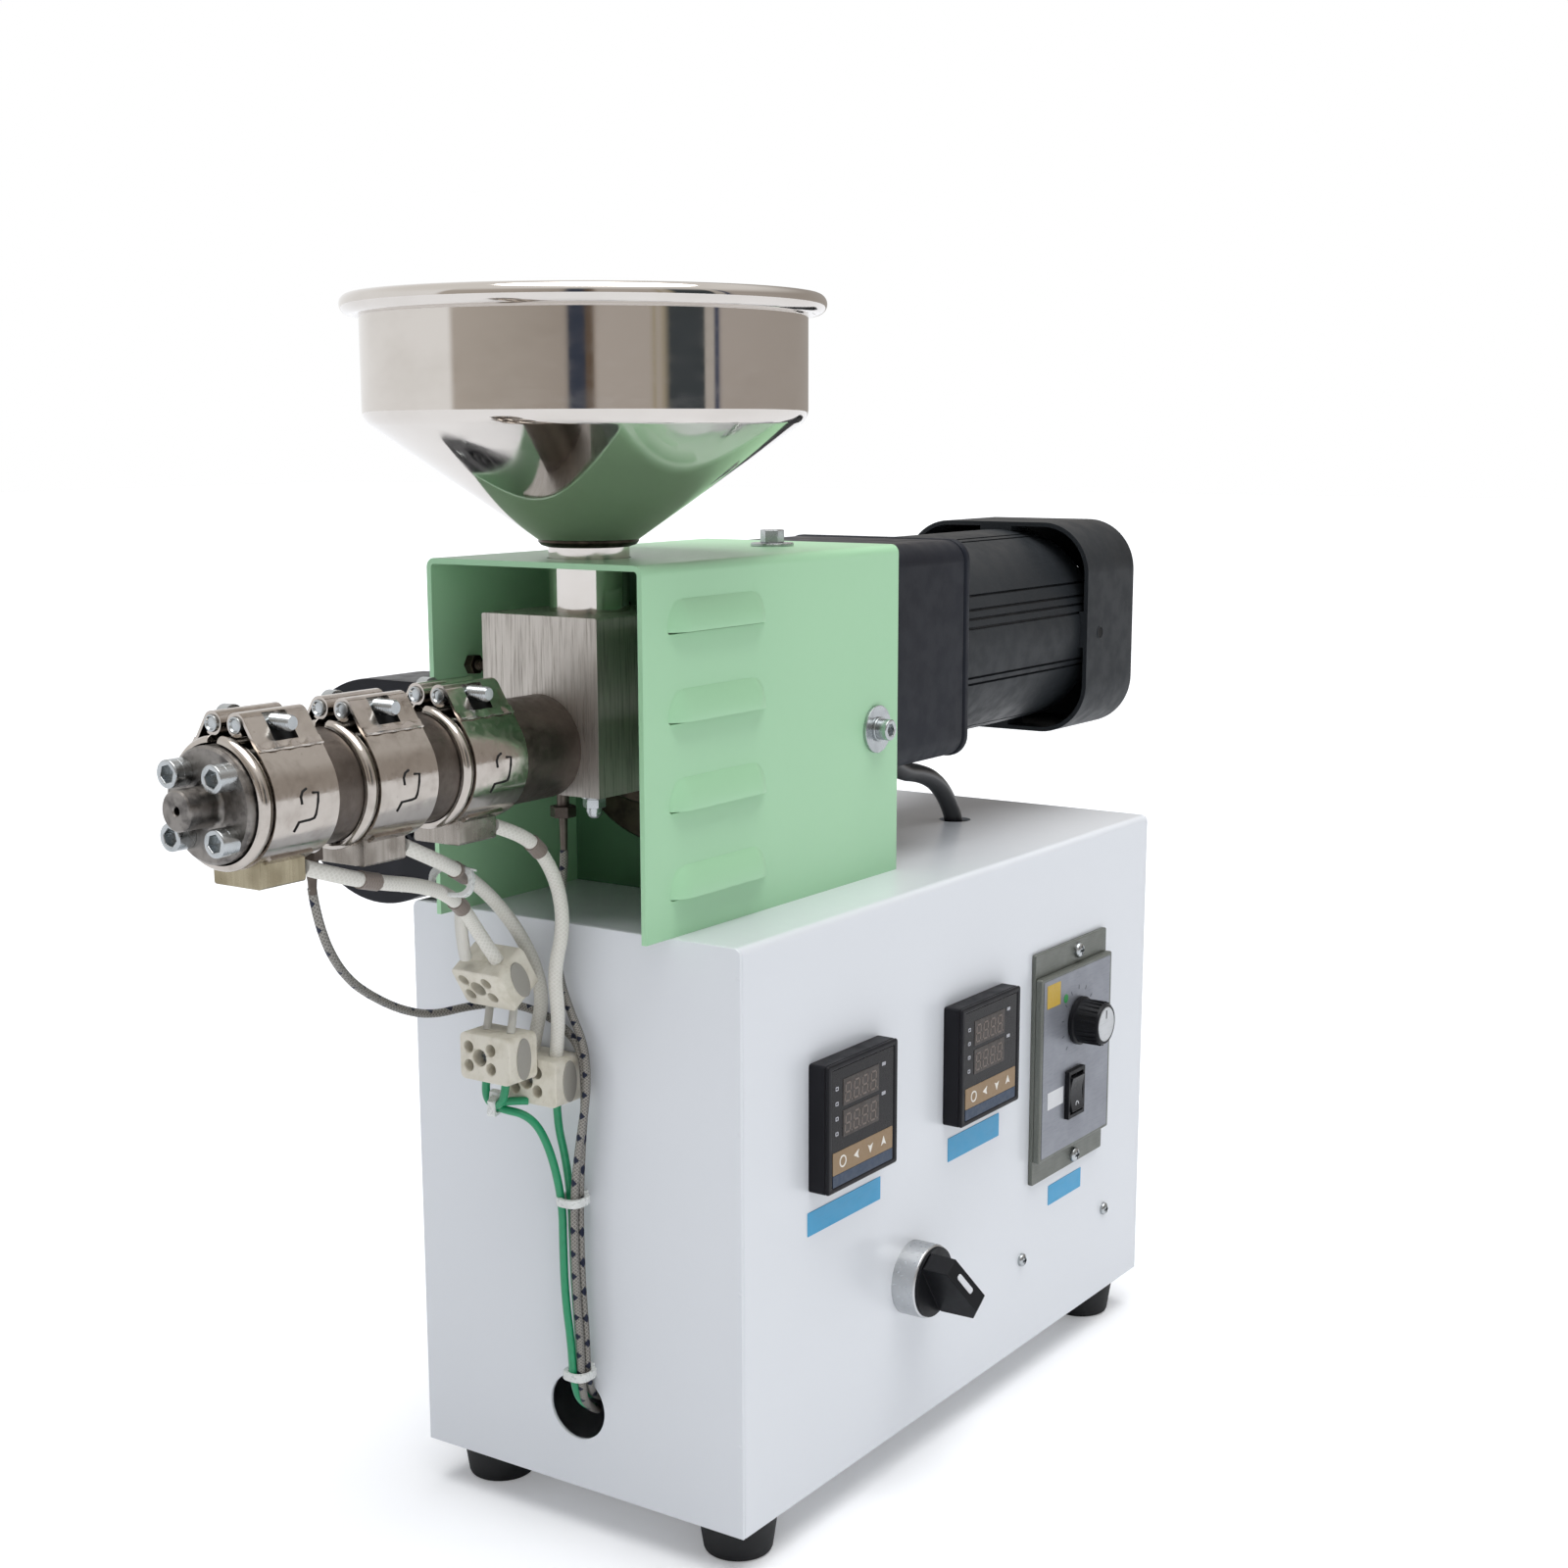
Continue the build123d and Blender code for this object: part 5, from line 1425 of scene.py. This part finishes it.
    def shade_mesh(self):
        """Unlit space behind the slots: a dark sheet under each slope."""
        points, join = self.half_path()
        path = [(-point.x + 0.3, point.y) for point in points[join:join + 5]]
        return both_sides(folded(path, [7.5, 15.6, 24], 0.2, (0, 1.2, -0.8)))

    def nut_mesh(self):
        """Two barrel nuts with dished ends, one in each loop."""
        radius, end = nut_radius, band_width - 0.2
        profile = [(0, 2.3), (radius - 1.0, 2.5), (radius - 0.6, 2.0), (radius - 0.1, 2.1), (radius, 2.5),
                   (radius, end - 0.3), (radius - 0.4, end), (0, end)]
        nut = turned(profile, along=along_x, steps=32)
        return joined(*[moved(nut, (0, side * loop_side, loop_rise)) for side in (-1, 1)])

    def screw_mesh(self):
        """Clamp screw through both nuts: a threaded end on the near side and a socket head on the far one."""
        stem = on_panel(thread(5.0, 25.2, 0.8), (strap_middle, 10, loop_rise))
        head = moved(socket_screw(8.0, 4.4, 4.0), (strap_middle, 9.6, loop_rise), -along_x, upward)
        return joined(stem, head)

    def key_mesh(self):
        """Slits round the stamped tab, as thin dark strips lying in the sheet: painted shade where the cuts
        open.
        """
        outer = strap_radius + strap_sheet
        strips = [[(x, -outer * cos(height / outer), outer * sin(height / outer)) for x, height in slit]
                  for slit in key_slits]
        return joined(*[tube(strip, 0.4, sides=6, smooth=False) for strip in strips])

    def lip_mesh(self):
        """Flange of the terminal box, lying on the strap above the box on both sides."""
        outer = strap_radius + strap_sheet + 0.02
        turns = [radians(52 + step * 4) for step in range(8)]
        path = [(-outer * cos(turn), -outer * sin(turn)) for turn in turns]
        return both_sides(folded(path, [7, 9, 14, 19, 24], 0.7))


# Hopper
class EXTRUDER_OT_hopper(bpy.types.Operator):
    """Add the spun hopper with its rolled rim, and a dark collar round its neck that also paints the shadow
    line under the cone
    """
    bl_idname = "extruder.hopper"
    bl_label = "Hopper"

    def execute(self, context):
        low, high = span("hopper")
        bottom, top = low.z, high.z
        rim = (high.x - low.x) / 2
        sheet, neck, cone, bowl = 1.2, 14.3, 17.25, 77.0
        cone_z = bottom + 24.5
        bowl_z = cone_z + 41.5
        bead = 3.55
        outer = rounded([(neck, bottom), (neck, cone_z - sheet, 1.0), (cone, cone_z, 1.5), (bowl, bowl_z, 6),
                         (bowl, top - 2 * bead + 0.8)], 8)
        inner = rounded([(neck - sheet, bottom), (neck - sheet, cone_z - 0.4, 1.0),
                         (cone - 0.8 * sheet, cone_z + 0.9, 1.5), (bowl - sheet, bowl_z + 0.5, 5),
                         (bowl - sheet, top - bead)], 8)
        roll = [(rim - bead + bead * cos(turn), top - bead + bead * sin(turn))
                for turn in (radians(195 + step * 12) for step in range(27))]
        profile = [tuple(point) for point in (*outer, *roll, *inner[::-1])]
        place = (throat_x, axis_y, 0)
        show("spun_hopper", turned(profile, place, upward, 192), finish(spun_stainless), slot="stainless",
             replaces="hopper", angle=50)
        # Dark ring at the cone's foot: partly a collar, partly a painted shadow line where the cone meets the
        # neck.
        collar = [(neck + 0.1, cone_z - 2.2), (cone - 0.6, cone_z - 1.5), (cone + 0.4, cone_z - 0.4),
                  (cone + 0.4, cone_z + 0.3), (neck + 0.1, cone_z - 0.6)]
        show("neck_collar", turned(collar, place), finish(oiled_steel))
        return {"FINISHED"}


# Gearmotor
class EXTRUDER_OT_gearmotor(bpy.types.Operator):
    """Add the gearbox, the grooved motor and the fan's shroud"""
    bl_idname = "extruder.gearmotor"
    bl_label = "Gearmotor"

    def execute(self, context):
        colours = scene.extruder_colours
        box_paint = finish(sprayed_enamel, "gearbox_enamel", tuple(colours.gearbox), "#191B22", 0.4)
        motor_paint = finish(sprayed_enamel, "motor_enamel", tuple(colours.motor), "#24272A", 0.42)
        low, high = span("gearbox")
        seam = high.x - 4.6
        body, lip = ([oblong(size, size, 9, steps=8)] for size in (89, 90))
        casting = joined(plate(body, seam - low.x, (low.x, axis_y, motor_z), along_y, upward, 0.6),
                         plate(lip, high.x - seam, (seam, axis_y, motor_z), along_y, upward, 1.4))
        show("gearbox_casting", casting, box_paint, slot="grey_paint", replaces="gearbox")
        low, high = span("motor_body")
        motor = self.motor_mesh(high.x - low.x, (low.x, axis_y, motor_z))
        show("grooved_motor", motor, motor_paint, slot="motor_paint", replaces="motor_body")
        dressed("motor_shroud", motor_paint, "motor_paint", 0.3)
        low = span("motor_shroud")[0]
        place = (low.x + 13, low.y, motor_z - 2)
        # The shroud's hole is a flat dark disc of painted shade lying on the surface, with a rim round it.
        hole = turned([(0, 0), (2.5, 0), (2.5, 0.06), (0, 0.06)], steps=32)
        rim = turned([(2.4, 0), (3.1, 0), (2.8, 0.3), (2.5, 0.3)], steps=32)
        show("shroud_hole", on_panel(hole, place), finish(dark_void))
        show("shroud_hole_rim", on_panel(rim, place), motor_paint)
        return {"FINISHED"}

    def motor_mesh(self, long, place):
        """Round motor casing with fine grooves along it, in the same groups on each of its four sides."""
        radius, deep, wide = 44.0, 1.2, radians(0.75)
        grooves = sorted(radians(side * 90 + middle) for side in range(4)
                         for middle in (-28, -20, -15, -10, 17.5, 21.5))
        outline = []
        for here, after in zip(grooves, grooves[1:] + [grooves[0] + 2 * pi]):
            gap = after - here - 2 * wide
            count = max(1, round(gap / radians(3)))
            floor = [(radius - deep, here - wide * 0.7), (radius - deep, here + wide * 0.7)]
            round_stretch = [(radius, here + wide + gap * step / count) for step in range(count)]
            outline += [Vector((far * cos(turn), far * sin(turn)))
                        for far, turn in ((radius, here - wide), *floor, *round_stretch)]
        return plate([outline], long, place, along_y, upward, 0.1)


# Blower
class EXTRUDER_OT_blower(bpy.types.Operator):
    """Add the blower behind the guard, with its intake grille and rotor"""
    bl_idname = "extruder.blower"
    bl_label = "Blower"

    def execute(self, context):
        low, high = span("blower_housing")
        radius, thick, wall = 42.5, high.x - low.x, 2.2
        centre = Vector((low.x, high.y - radius, low.z + radius))
        black = finish(moulded_plastic, "blower_plastic", "#1D1E23", "#2A2B31", 0.38)

        def upright(loops, thick, x, edge):
            """Plate that faces along the screw's axis, x from the casing's near face."""
            return plate(loops, thick, centre + along_x * x, along_y, upward, edge)

        scroll = [Vector((radius * cos(turn), radius * sin(turn))) for turn in
                  (radians(-180 + step * 270 / 60) for step in range(61))]
        outline = scroll + [Vector((-radius, radius)), Vector((-radius, radius - 26))]
        inner = [point * 0.94 for point in scroll] + [Vector((-radius * 0.99, radius - 2.5)),
                                                      Vector((-radius * 0.99, radius - 24))]
        intake = ring(25)
        casing = joined(upright([outline, intake], wall, 0, 0.5),
                        upright([outline, inner], thick - 2 * wall, wall, 0.1),
                        upright([outline], wall, thick - wall, 0.5))
        show("blower_casing", casing, black, slot="black_plastic", replaces="blower_housing")
        vane = plate([rounded([(0, -0.5), (9, 1.5, 0.4), (9, 2.4, 0.4), (0, 0.5)])], 22, edge=0.1)
        rotor = copies(ring_tree, vane, black, Count=28, Radius=14.0, Start=0.0)
        show("blower_rotor", moved(rotor, centre + along_x * 5, along_y, upward), black)
        hub = turned([(0, 3.2), (9.5, 3.2), (11, 4.2), (11.4, 6), (11.4, 26), (0, 26)], centre, along_x, 64)
        show("blower_hub", hub, black)
        hoops = [upright([ring(middle + 0.9), ring(middle - 0.9)], 1.4, 0.6, 0.3)
                 for middle in (12, 18, 24.3)]
        spoke = plate([oblong(26, 1.8, 0.3, (13, 0))], 1.4, edge=0.3)
        spokes = copies(ring_tree, spoke, black, Count=4, Radius=0.0, Start=radians(45))
        grille = joined(*hoops, moved(spokes, centre + along_x * 0.6, along_y, upward))
        show("blower_grille", grille, black)
        zinc = finish(bright_zinc)
        screws = copies(ring_tree, pan_screw(6.2, 2.4), zinc, Count=4, Radius=36.0, Start=radians(20))
        show("blower_screws", moved(screws, centre, along_y, -upward), zinc)
        return {"FINISHED"}


# Controllers
class EXTRUDER_OT_controllers(bpy.types.Operator):
    """Add the two temperature controllers with their unlit digits, keys and bare name strips"""
    bl_idname = "extruder.controllers"
    bl_label = "Controllers"

    def execute(self, context):
        for number in (1, 2):
            self.add_controller(number)
        return {"FINISHED"}

    def add_controller(self, number):
        """One controller: its case and what lies on its face, placed from the middle of the bezel's front."""
        low, high = span(f"controller_{number}")
        middle, deep = middle_of(f"controller_{number}"), high.y - low.y
        middle.y = low.y

        def flat(loops, thick, x, z, depth, edge=0.05):
            """Flat piece of the face, its back depth millimetres behind the bezel's front."""
            return panel_plate(loops, thick, middle + Vector((x, depth, z)), edge)

        def put(name, material, *meshes, **more):
            """Shows meshes of this controller as one piece."""
            show(f"{name}_{number}", joined(*meshes), material, **more)

        case, glass = oblong(48, 48, 1.2), oblong(42.5, 43.5, 0.6)
        put("controller_case", finish(moulded_plastic, "controller_abs", "#17171B", "#1E1E23", 0.4),
            flat([case, glass], 1.6, 0, 0, 1.6, 0.7), flat([case], deep - 1.5, 0, 0, deep, 0.4),
            slot="black_plastic", replaces=f"controller_{number}")
        put("window", finish(moulded_plastic, "smoked_window", "#1B1A1C", "#201E1F", 0.22),
            flat([oblong(42.4, 43.4, 0.6)], 0.5, 0, 0, 0.85, 0.1))
        field = oblong(24.5, 10.0, 0.3)
        put("display_fields", ink("unlit_display_field", "#3A332F"),
            *[flat([field], 0.3, -1.5, z, 0.45) for z in (12.2, 0.6)])
        unlit = ink("unlit_segments", "#6E625A")
        digits = copies(row_tree, self.digit(), unlit, Count=4, First=(0, 0, 0), Step=(5.8, 0, 0))
        put("unlit_digits", unlit,
            *[on_panel(digits, middle + Vector((-12.6, 0.25, z))) for z in (8.6, -3.0)])
        lamp = plate([oblong(2.0, 1.5, 0.4), oblong(1.1, 0.7, 0.2)], 0.25, edge=0.05)
        pale = ink("pale_marks", "#A9AAB0")
        lamps = copies(row_tree, lamp, pale, Count=4, First=(0, 0, 0), Step=(0, -5.6, 0))
        put("lamp_marks", pale, on_panel(lamps, middle + Vector((-17.8, 0.45, 14.6))),
            *[flat([oblong(2.6, 1.3, 0.3)], 0.25, 14.2, z, 0.45) for z in (16.4, 5.2)])
        put("key_strip", ink("tan_key_strip", "#8F7656"),
            flat([oblong(41, 8.4, 0.4)], 0.35, 0, -13.2, 0.5, 0.1))
        put("key_marks", ink("arrow_ink", "#E4E0D8"),
            flat([ring(2.3, steps=24), ring(1.7, steps=24)], 0.25, -14, -13.2, 0.23),
            *[flat([self.arrow(turn)], 0.25, x, -13.2, 0.23, 0.04)
              for x, turn in ((-4.6, pi), (4.8, -pi / 2), (14.0, pi / 2))])
        put("name_strip", ink("dark_blue_strip", "#2A3B52"),
            flat([oblong(41, 4.4, 0.3)], 0.35, 0, -19.7, 0.5, 0.1))

    def arrow(self, turn):
        """Triangle that points along a turn from the right."""
        spin = Matrix.Rotation(turn, 2)
        return [spin @ Vector(point) for point in ((2.0, 0), (-1.4, 1.7), (-0.7, 0), (-1.4, -1.7))]

    def digit(self):
        """Seven-segment figure with all its segments, leaning a little, and its point."""
        wide, high, bar, lean = 3.4, 6.6, 0.62, 0.1
        half, gap = bar / 2, bar * 0.7
        bars = [(gap, level * high - half, wide - gap, level * high + half) for level in (0, 0.5, 1)]
        bars += [(side - half, level * high + gap, side + half, (level + 0.5) * high - gap)
                 for side in (0, wide) for level in (0, 0.5)]
        bars.append((wide + 0.9, -0.3, wide + 1.5, 0.3))
        outlines = [[Vector((x + lean * y, y))
                     for x, y in ((left, low), (right, low), (right, top), (left, top))]
                    for left, low, right, top in bars]
        return joined(*[plate([outline], 0.16, edge=0.03) for outline in outlines])


# Speed control
class EXTRUDER_OT_speed(bpy.types.Operator):
    """Add the speed control's plates, ticks, knob and rocker switch"""
    bl_idname = "extruder.speed"
    bl_label = "Speed control"

    def execute(self, context):
        olive = finish(anodised_plate, "olive_anodised", "#6F726C", "#61645E")
        silver = finish(anodised_plate, "silver_face", "#8D9098", "#7F828A")
        middle = seat_of("speed_plate")
        rocker = middle_of("rocker_frame") - middle
        window = oblong(15, 21, 0.1, (rocker.x, rocker.z))
        face = middle + out * 5
        show("speed_base", panel_plate([oblong(66, 100.5, 1.0), window], 2.0, middle, 0.35), olive,
             slot="grey_panel", replaces="speed_plate")
        show("speed_step", panel_plate([oblong(66, 80, 1), window], 3.0, middle + out * 2, 0.6), olive,
             slot="grey_panel")
        show("speed_face", panel_plate([oblong(62, 77, 0.8), window], 0.18, face), silver)
        self.add_print(face + out * 0.18, rocker)
        self.add_knob()
        self.add_rocker()
        screw = pan_screw(6.4, 2.6)
        for number, z in enumerate((45.4, -46.2), 1):
            show(f"plate_screw_{number}", on_panel(screw, middle + Vector((5.2, -2, z))), finish(bright_zinc))
        return {"FINISHED"}

    def add_print(self, place, rocker):
        """Scale ticks round the knob, and a patch, a dot and a label, all printed on the face."""
        knob = middle_of("speed_knob") - place
        knob = Vector((knob.x, knob.z))
        ticks = []
        for step in range(11):
            turn = radians(225 - step * 27)
            across = Vector((cos(turn), sin(turn)))
            side = Vector((-across.y, across.x))
            corners = [knob + across * (14.6 + far) + side * off
                       for far, off in ((-0.9, -0.22), (0.9, -0.22), (0.9, 0.22), (-0.9, 0.22))]
            ticks.append(panel_plate([corners], 0.1, place, 0.02))
        show("speed_ticks", joined(*ticks), ink("grey_ink", "#55585E"))
        for name, outline, material in (
                ("yellow_patch", oblong(12, 10, 0.3, (-22.5, 31.5)), ink("ochre_ink", "#C3A23E")),
                ("green_dot", ring(1.9, (knob.x - 12.2, knob.y + 12.0), 24), ink("green_ink", "#2E8B45")),
                ("white_label", oblong(14.5, 7.5, 0.2, (rocker.x - 16.2, rocker.z + 1.0)),
                 ink("white_label_paper", "#D9DADC"))):
            show(name, panel_plate([outline], 0.14, place, 0.03), material)

    def add_knob(self):
        """Fluted black knob with a spun metal cap and a pale pointer line."""
        low, high = span("speed_knob")
        deep = high.y - low.y
        base, tip = 10.5, 8.7
        profile = [(3.1, 0), (base - 0.4, 0), (base, 0.4), (base, 1.8), (base - 0.9, 2.4),
                   (tip + 0.3, deep - 0.9), (tip - 0.4, deep), (7.6, deep), (7.5, deep - 0.3),
                   (3.1, deep - 0.3)]
        wedge = rounded([(-0.35, 0.0), (0.45, -0.55, 0.2), (0.45, 0.55, 0.2)])
        rib = plate([wedge], deep - 3.4, (0, 0, 2.2), edge=0.05)
        ribs = copies(ring_tree, rib, black_abs(), Count=24, Radius=tip + 0.45, Start=0.0)
        place = seat_of("speed_knob")
        show("fluted_knob", on_panel(joined(turned(profile), ribs), place), black_abs(), body="speed_knob",
             slot="black_plastic", replaces="speed_knob")
        cap = turned([(0, deep - 0.6), (7.4, deep - 0.6), (7.4, deep), (7.1, deep + 0.2), (6.7, deep),
                      (0, deep)], steps=64)
        metal = finish(anodised_plate, "spun_cap", "#C9CBCD", "#B5B8BA")
        show("knob_cap", on_panel(cap, place), metal, body="speed_knob")
        line = plate([oblong(0.8, 3.6, 0.2, (0, 4.2))], 0.1, (0, 0, deep - 0.02), edge=0.02)
        show("knob_line", on_panel(line, place), ink("black_ink", "#1C1D20"), body="speed_knob")

    def add_rocker(self):
        """Rocker in its frame, with a ring mark on its lower half."""
        dressed("rocker_frame", black_abs(), "black_plastic", 0.25)
        glossy = finish(moulded_plastic, "rocker_plastic", "#17181B", "#202125", 0.24)
        dressed("rocker", glossy, "black_plastic", 0.2, body="rocker")
        place = middle_of("rocker")
        place.y = span("rocker")[0].y + 0.73
        place.z -= 5.2
        mark = plate([ring(1.5, steps=24), ring(1.05, steps=24)], 0.12, edge=0.03)
        show("rocker_mark", moved(mark, place, along_x, upward + along_y * 0.16), ink("white_ink", "#D5D7DA"),
             body="rocker")


# Selector and labels
handle_face = 11.1  # from the panel to the front of the handle's disc
handle_low_end, handle_high_end = Vector((-12.7, 11.0)), Vector((7.2, 18.0))  # of its bar's sloped top
mark_low, mark_high = -8.5, 1.3  # ends of the index mark along the bar


class EXTRUDER_OT_selector(bpy.types.Operator):
    """Add the selector switch with its satin bezel and index mark"""
    bl_idname = "extruder.selector"
    bl_label = "Selector"

    def execute(self, context):
        low, high = span("selector_bezel")
        centre, deep, outer = seat_of("selector_bezel"), high.y - low.y, (high.x - low.x) / 2
        profile = [(3.1, 0), (outer, 0), (outer, deep - 0.7), (outer - 0.2, deep - 0.3), (outer - 0.7, deep),
                   (outer - 1.0, deep - 0.2), (outer - 1.1, deep - 2.3), (3.1, deep - 2.3)]
        bezel = on_panel(turned(profile, steps=128), centre)
        show("satin_bezel", bezel, finish(satin_nickel), slot="chrome_ring", replaces="selector_bezel")
        dressed("selector_handle", black_abs(), "black_plastic", 0.5, body="selector_handle")
        self.add_mark(centre)
        return {"FINISHED"}

    def add_mark(self, centre):
        """White index mark on the bar's sloped top, from near its tip to past its middle."""
        lean = radians(-56.6)
        pointing = Vector((cos(lean), 0, sin(lean)))
        slope = (handle_high_end - handle_low_end).normalized()
        middle = handle_low_end + slope * ((mark_low + mark_high) / 2 - handle_low_end.x) / slope.x
        place = centre + pointing * middle.x + out * (handle_face + middle.y)
        up = (pointing * slope.x + out * slope.y).normalized()
        right = up.cross((out * slope.x - pointing * slope.y)).normalized()
        mark = plate([oblong(2.6, 9.6, 0.9)], 0.35, edge=0.1)
        show("index_mark", moved(mark, place, right, up), ink("white_ink", "#D5D7DA"), body="selector_handle")


class EXTRUDER_OT_labels(bpy.types.Operator):
    """Add the three bare blue labels"""
    bl_idname = "extruder.labels"
    bl_label = "Labels"

    def execute(self, context):
        # Left, right, lower and upper edge of each label
        edges = ((41.4, 91.6, 100.3, 109.3), (143.0, 185.0, 100.5, 110.3), (231.0, 262.0, 56.6, 65.5))
        for number, (left, right, low, high) in enumerate(edges, 1):
            sheet = panel_plate([oblong(right - left, high - low, 0.3)], 0.22,
                                spot((left + right) / 2, 0, (low + high) / 2))
            show(f"blue_label_{number}", sheet, finish(printed_vinyl))
        return {"FINISHED"}


# Terminal blocks
class EXTRUDER_OT_blocks(bpy.types.Operator):
    """Add the steatite terminal blocks with their wire holes, screws and end discs"""
    bl_idname = "extruder.blocks"
    bl_label = "Terminal blocks"

    def execute(self, context):
        block, disc = self.block_mesh(), self.disc_mesh()
        screw = moved(pan_screw(4.8, 2.2), (-2.5, 0, 2.4))
        places = (((-22.0, 90.0, 198.2), -32.0), ((-23.9, 87.6, 170.3), 0.0), ((-8.2, 80.0, 159.7), 0.0))
        for number, (place, tilt) in enumerate(places, 1):
            turn = Matrix.Rotation(radians(tilt), 3, "Y")
            stand = spot(*place), -(turn @ along_y), turn @ upward
            show(f"steatite_block_{number}", moved(block, *stand), finish(unglazed_steatite), slot="ceramic",
                 replaces=f"ceramic_block_{number}", bevel=0.35, angle=45)
            show(f"block_screw_{number}", moved(screw, *stand), finish(bright_zinc))
            show(f"block_disc_{number}", moved(disc, *stand), ink("grey_paste", "#9A978F"))
        return {"FINISHED"}

    def block_mesh(self):
        """Block 23 wide, 17 high and 15 deep: its front holds four wire holes round a fixing hole."""
        holes = [ring(2.2, (x, z), 24) for x in (-7.6, 2.6) for z in (-3.4, 3.4)] + [ring(3.1, (-2.5, 0), 28)]
        front = plate([oblong(23, 17, 2.2), *holes], 6, (0, 0, 1.5), edge=0.5)
        back = plate([oblong(23, 17, 2.2)], 9.2, (0, 0, -7.5), edge=0.5)
        return joined(back, front)

    def disc_mesh(self):
        """Oval filler disc on the block's near end."""
        outline = [Vector((3.7 * cos(step * pi / 16), 7.6 * sin(step * pi / 16))) for step in range(32)]
        return plate([outline], 0.7, (11.3, 0, 0), -upward, along_y, 0.2)


steps = (EXTRUDER_OT_stage, EXTRUDER_OT_cords, EXTRUDER_OT_cabinet, EXTRUDER_OT_guard, EXTRUDER_OT_feed,
         EXTRUDER_OT_barrel, EXTRUDER_OT_bands, EXTRUDER_OT_hopper, EXTRUDER_OT_gearmotor,
         EXTRUDER_OT_blower, EXTRUDER_OT_controllers, EXTRUDER_OT_speed, EXTRUDER_OT_selector,
         EXTRUDER_OT_labels, EXTRUDER_OT_blocks)


class EXTRUDER_PT_panel(bpy.types.Panel):
    """Lists the pieces, their colours and their sizes"""
    bl_idname = "EXTRUDER_PT_panel"
    bl_label = "Single screw extruder"
    bl_space_type = "VIEW_3D"
    bl_region_type = "UI"
    bl_category = "Extruder"

    def draw(self, context):
        for group in (scene.extruder_colours, scene.extruder_sizes):
            for name in group.bl_rna.properties.keys():
                if name not in ("rna_type", "name"):
                    self.layout.prop(group, name)
        for step in steps:
            self.layout.operator(step.bl_idname)


classes = (ExtruderColours, ExtruderSizes, *steps, EXTRUDER_PT_panel)


def register():
    for each in classes:
        bpy.utils.register_class(each)
    bpy.types.Scene.extruder_colours = bpy.props.PointerProperty(type=ExtruderColours)
    bpy.types.Scene.extruder_sizes = bpy.props.PointerProperty(type=ExtruderSizes)


def unregister():
    del bpy.types.Scene.extruder_colours
    del bpy.types.Scene.extruder_sizes
    for each in reversed(classes):
        bpy.utils.unregister_class(each)


def main():
    """Builds the stage and every piece."""
    register()
    for step in steps:
        group, name = step.bl_idname.split(".")
        getattr(getattr(bpy.ops, group), name)()


if __name__ == "__main__":
    main()
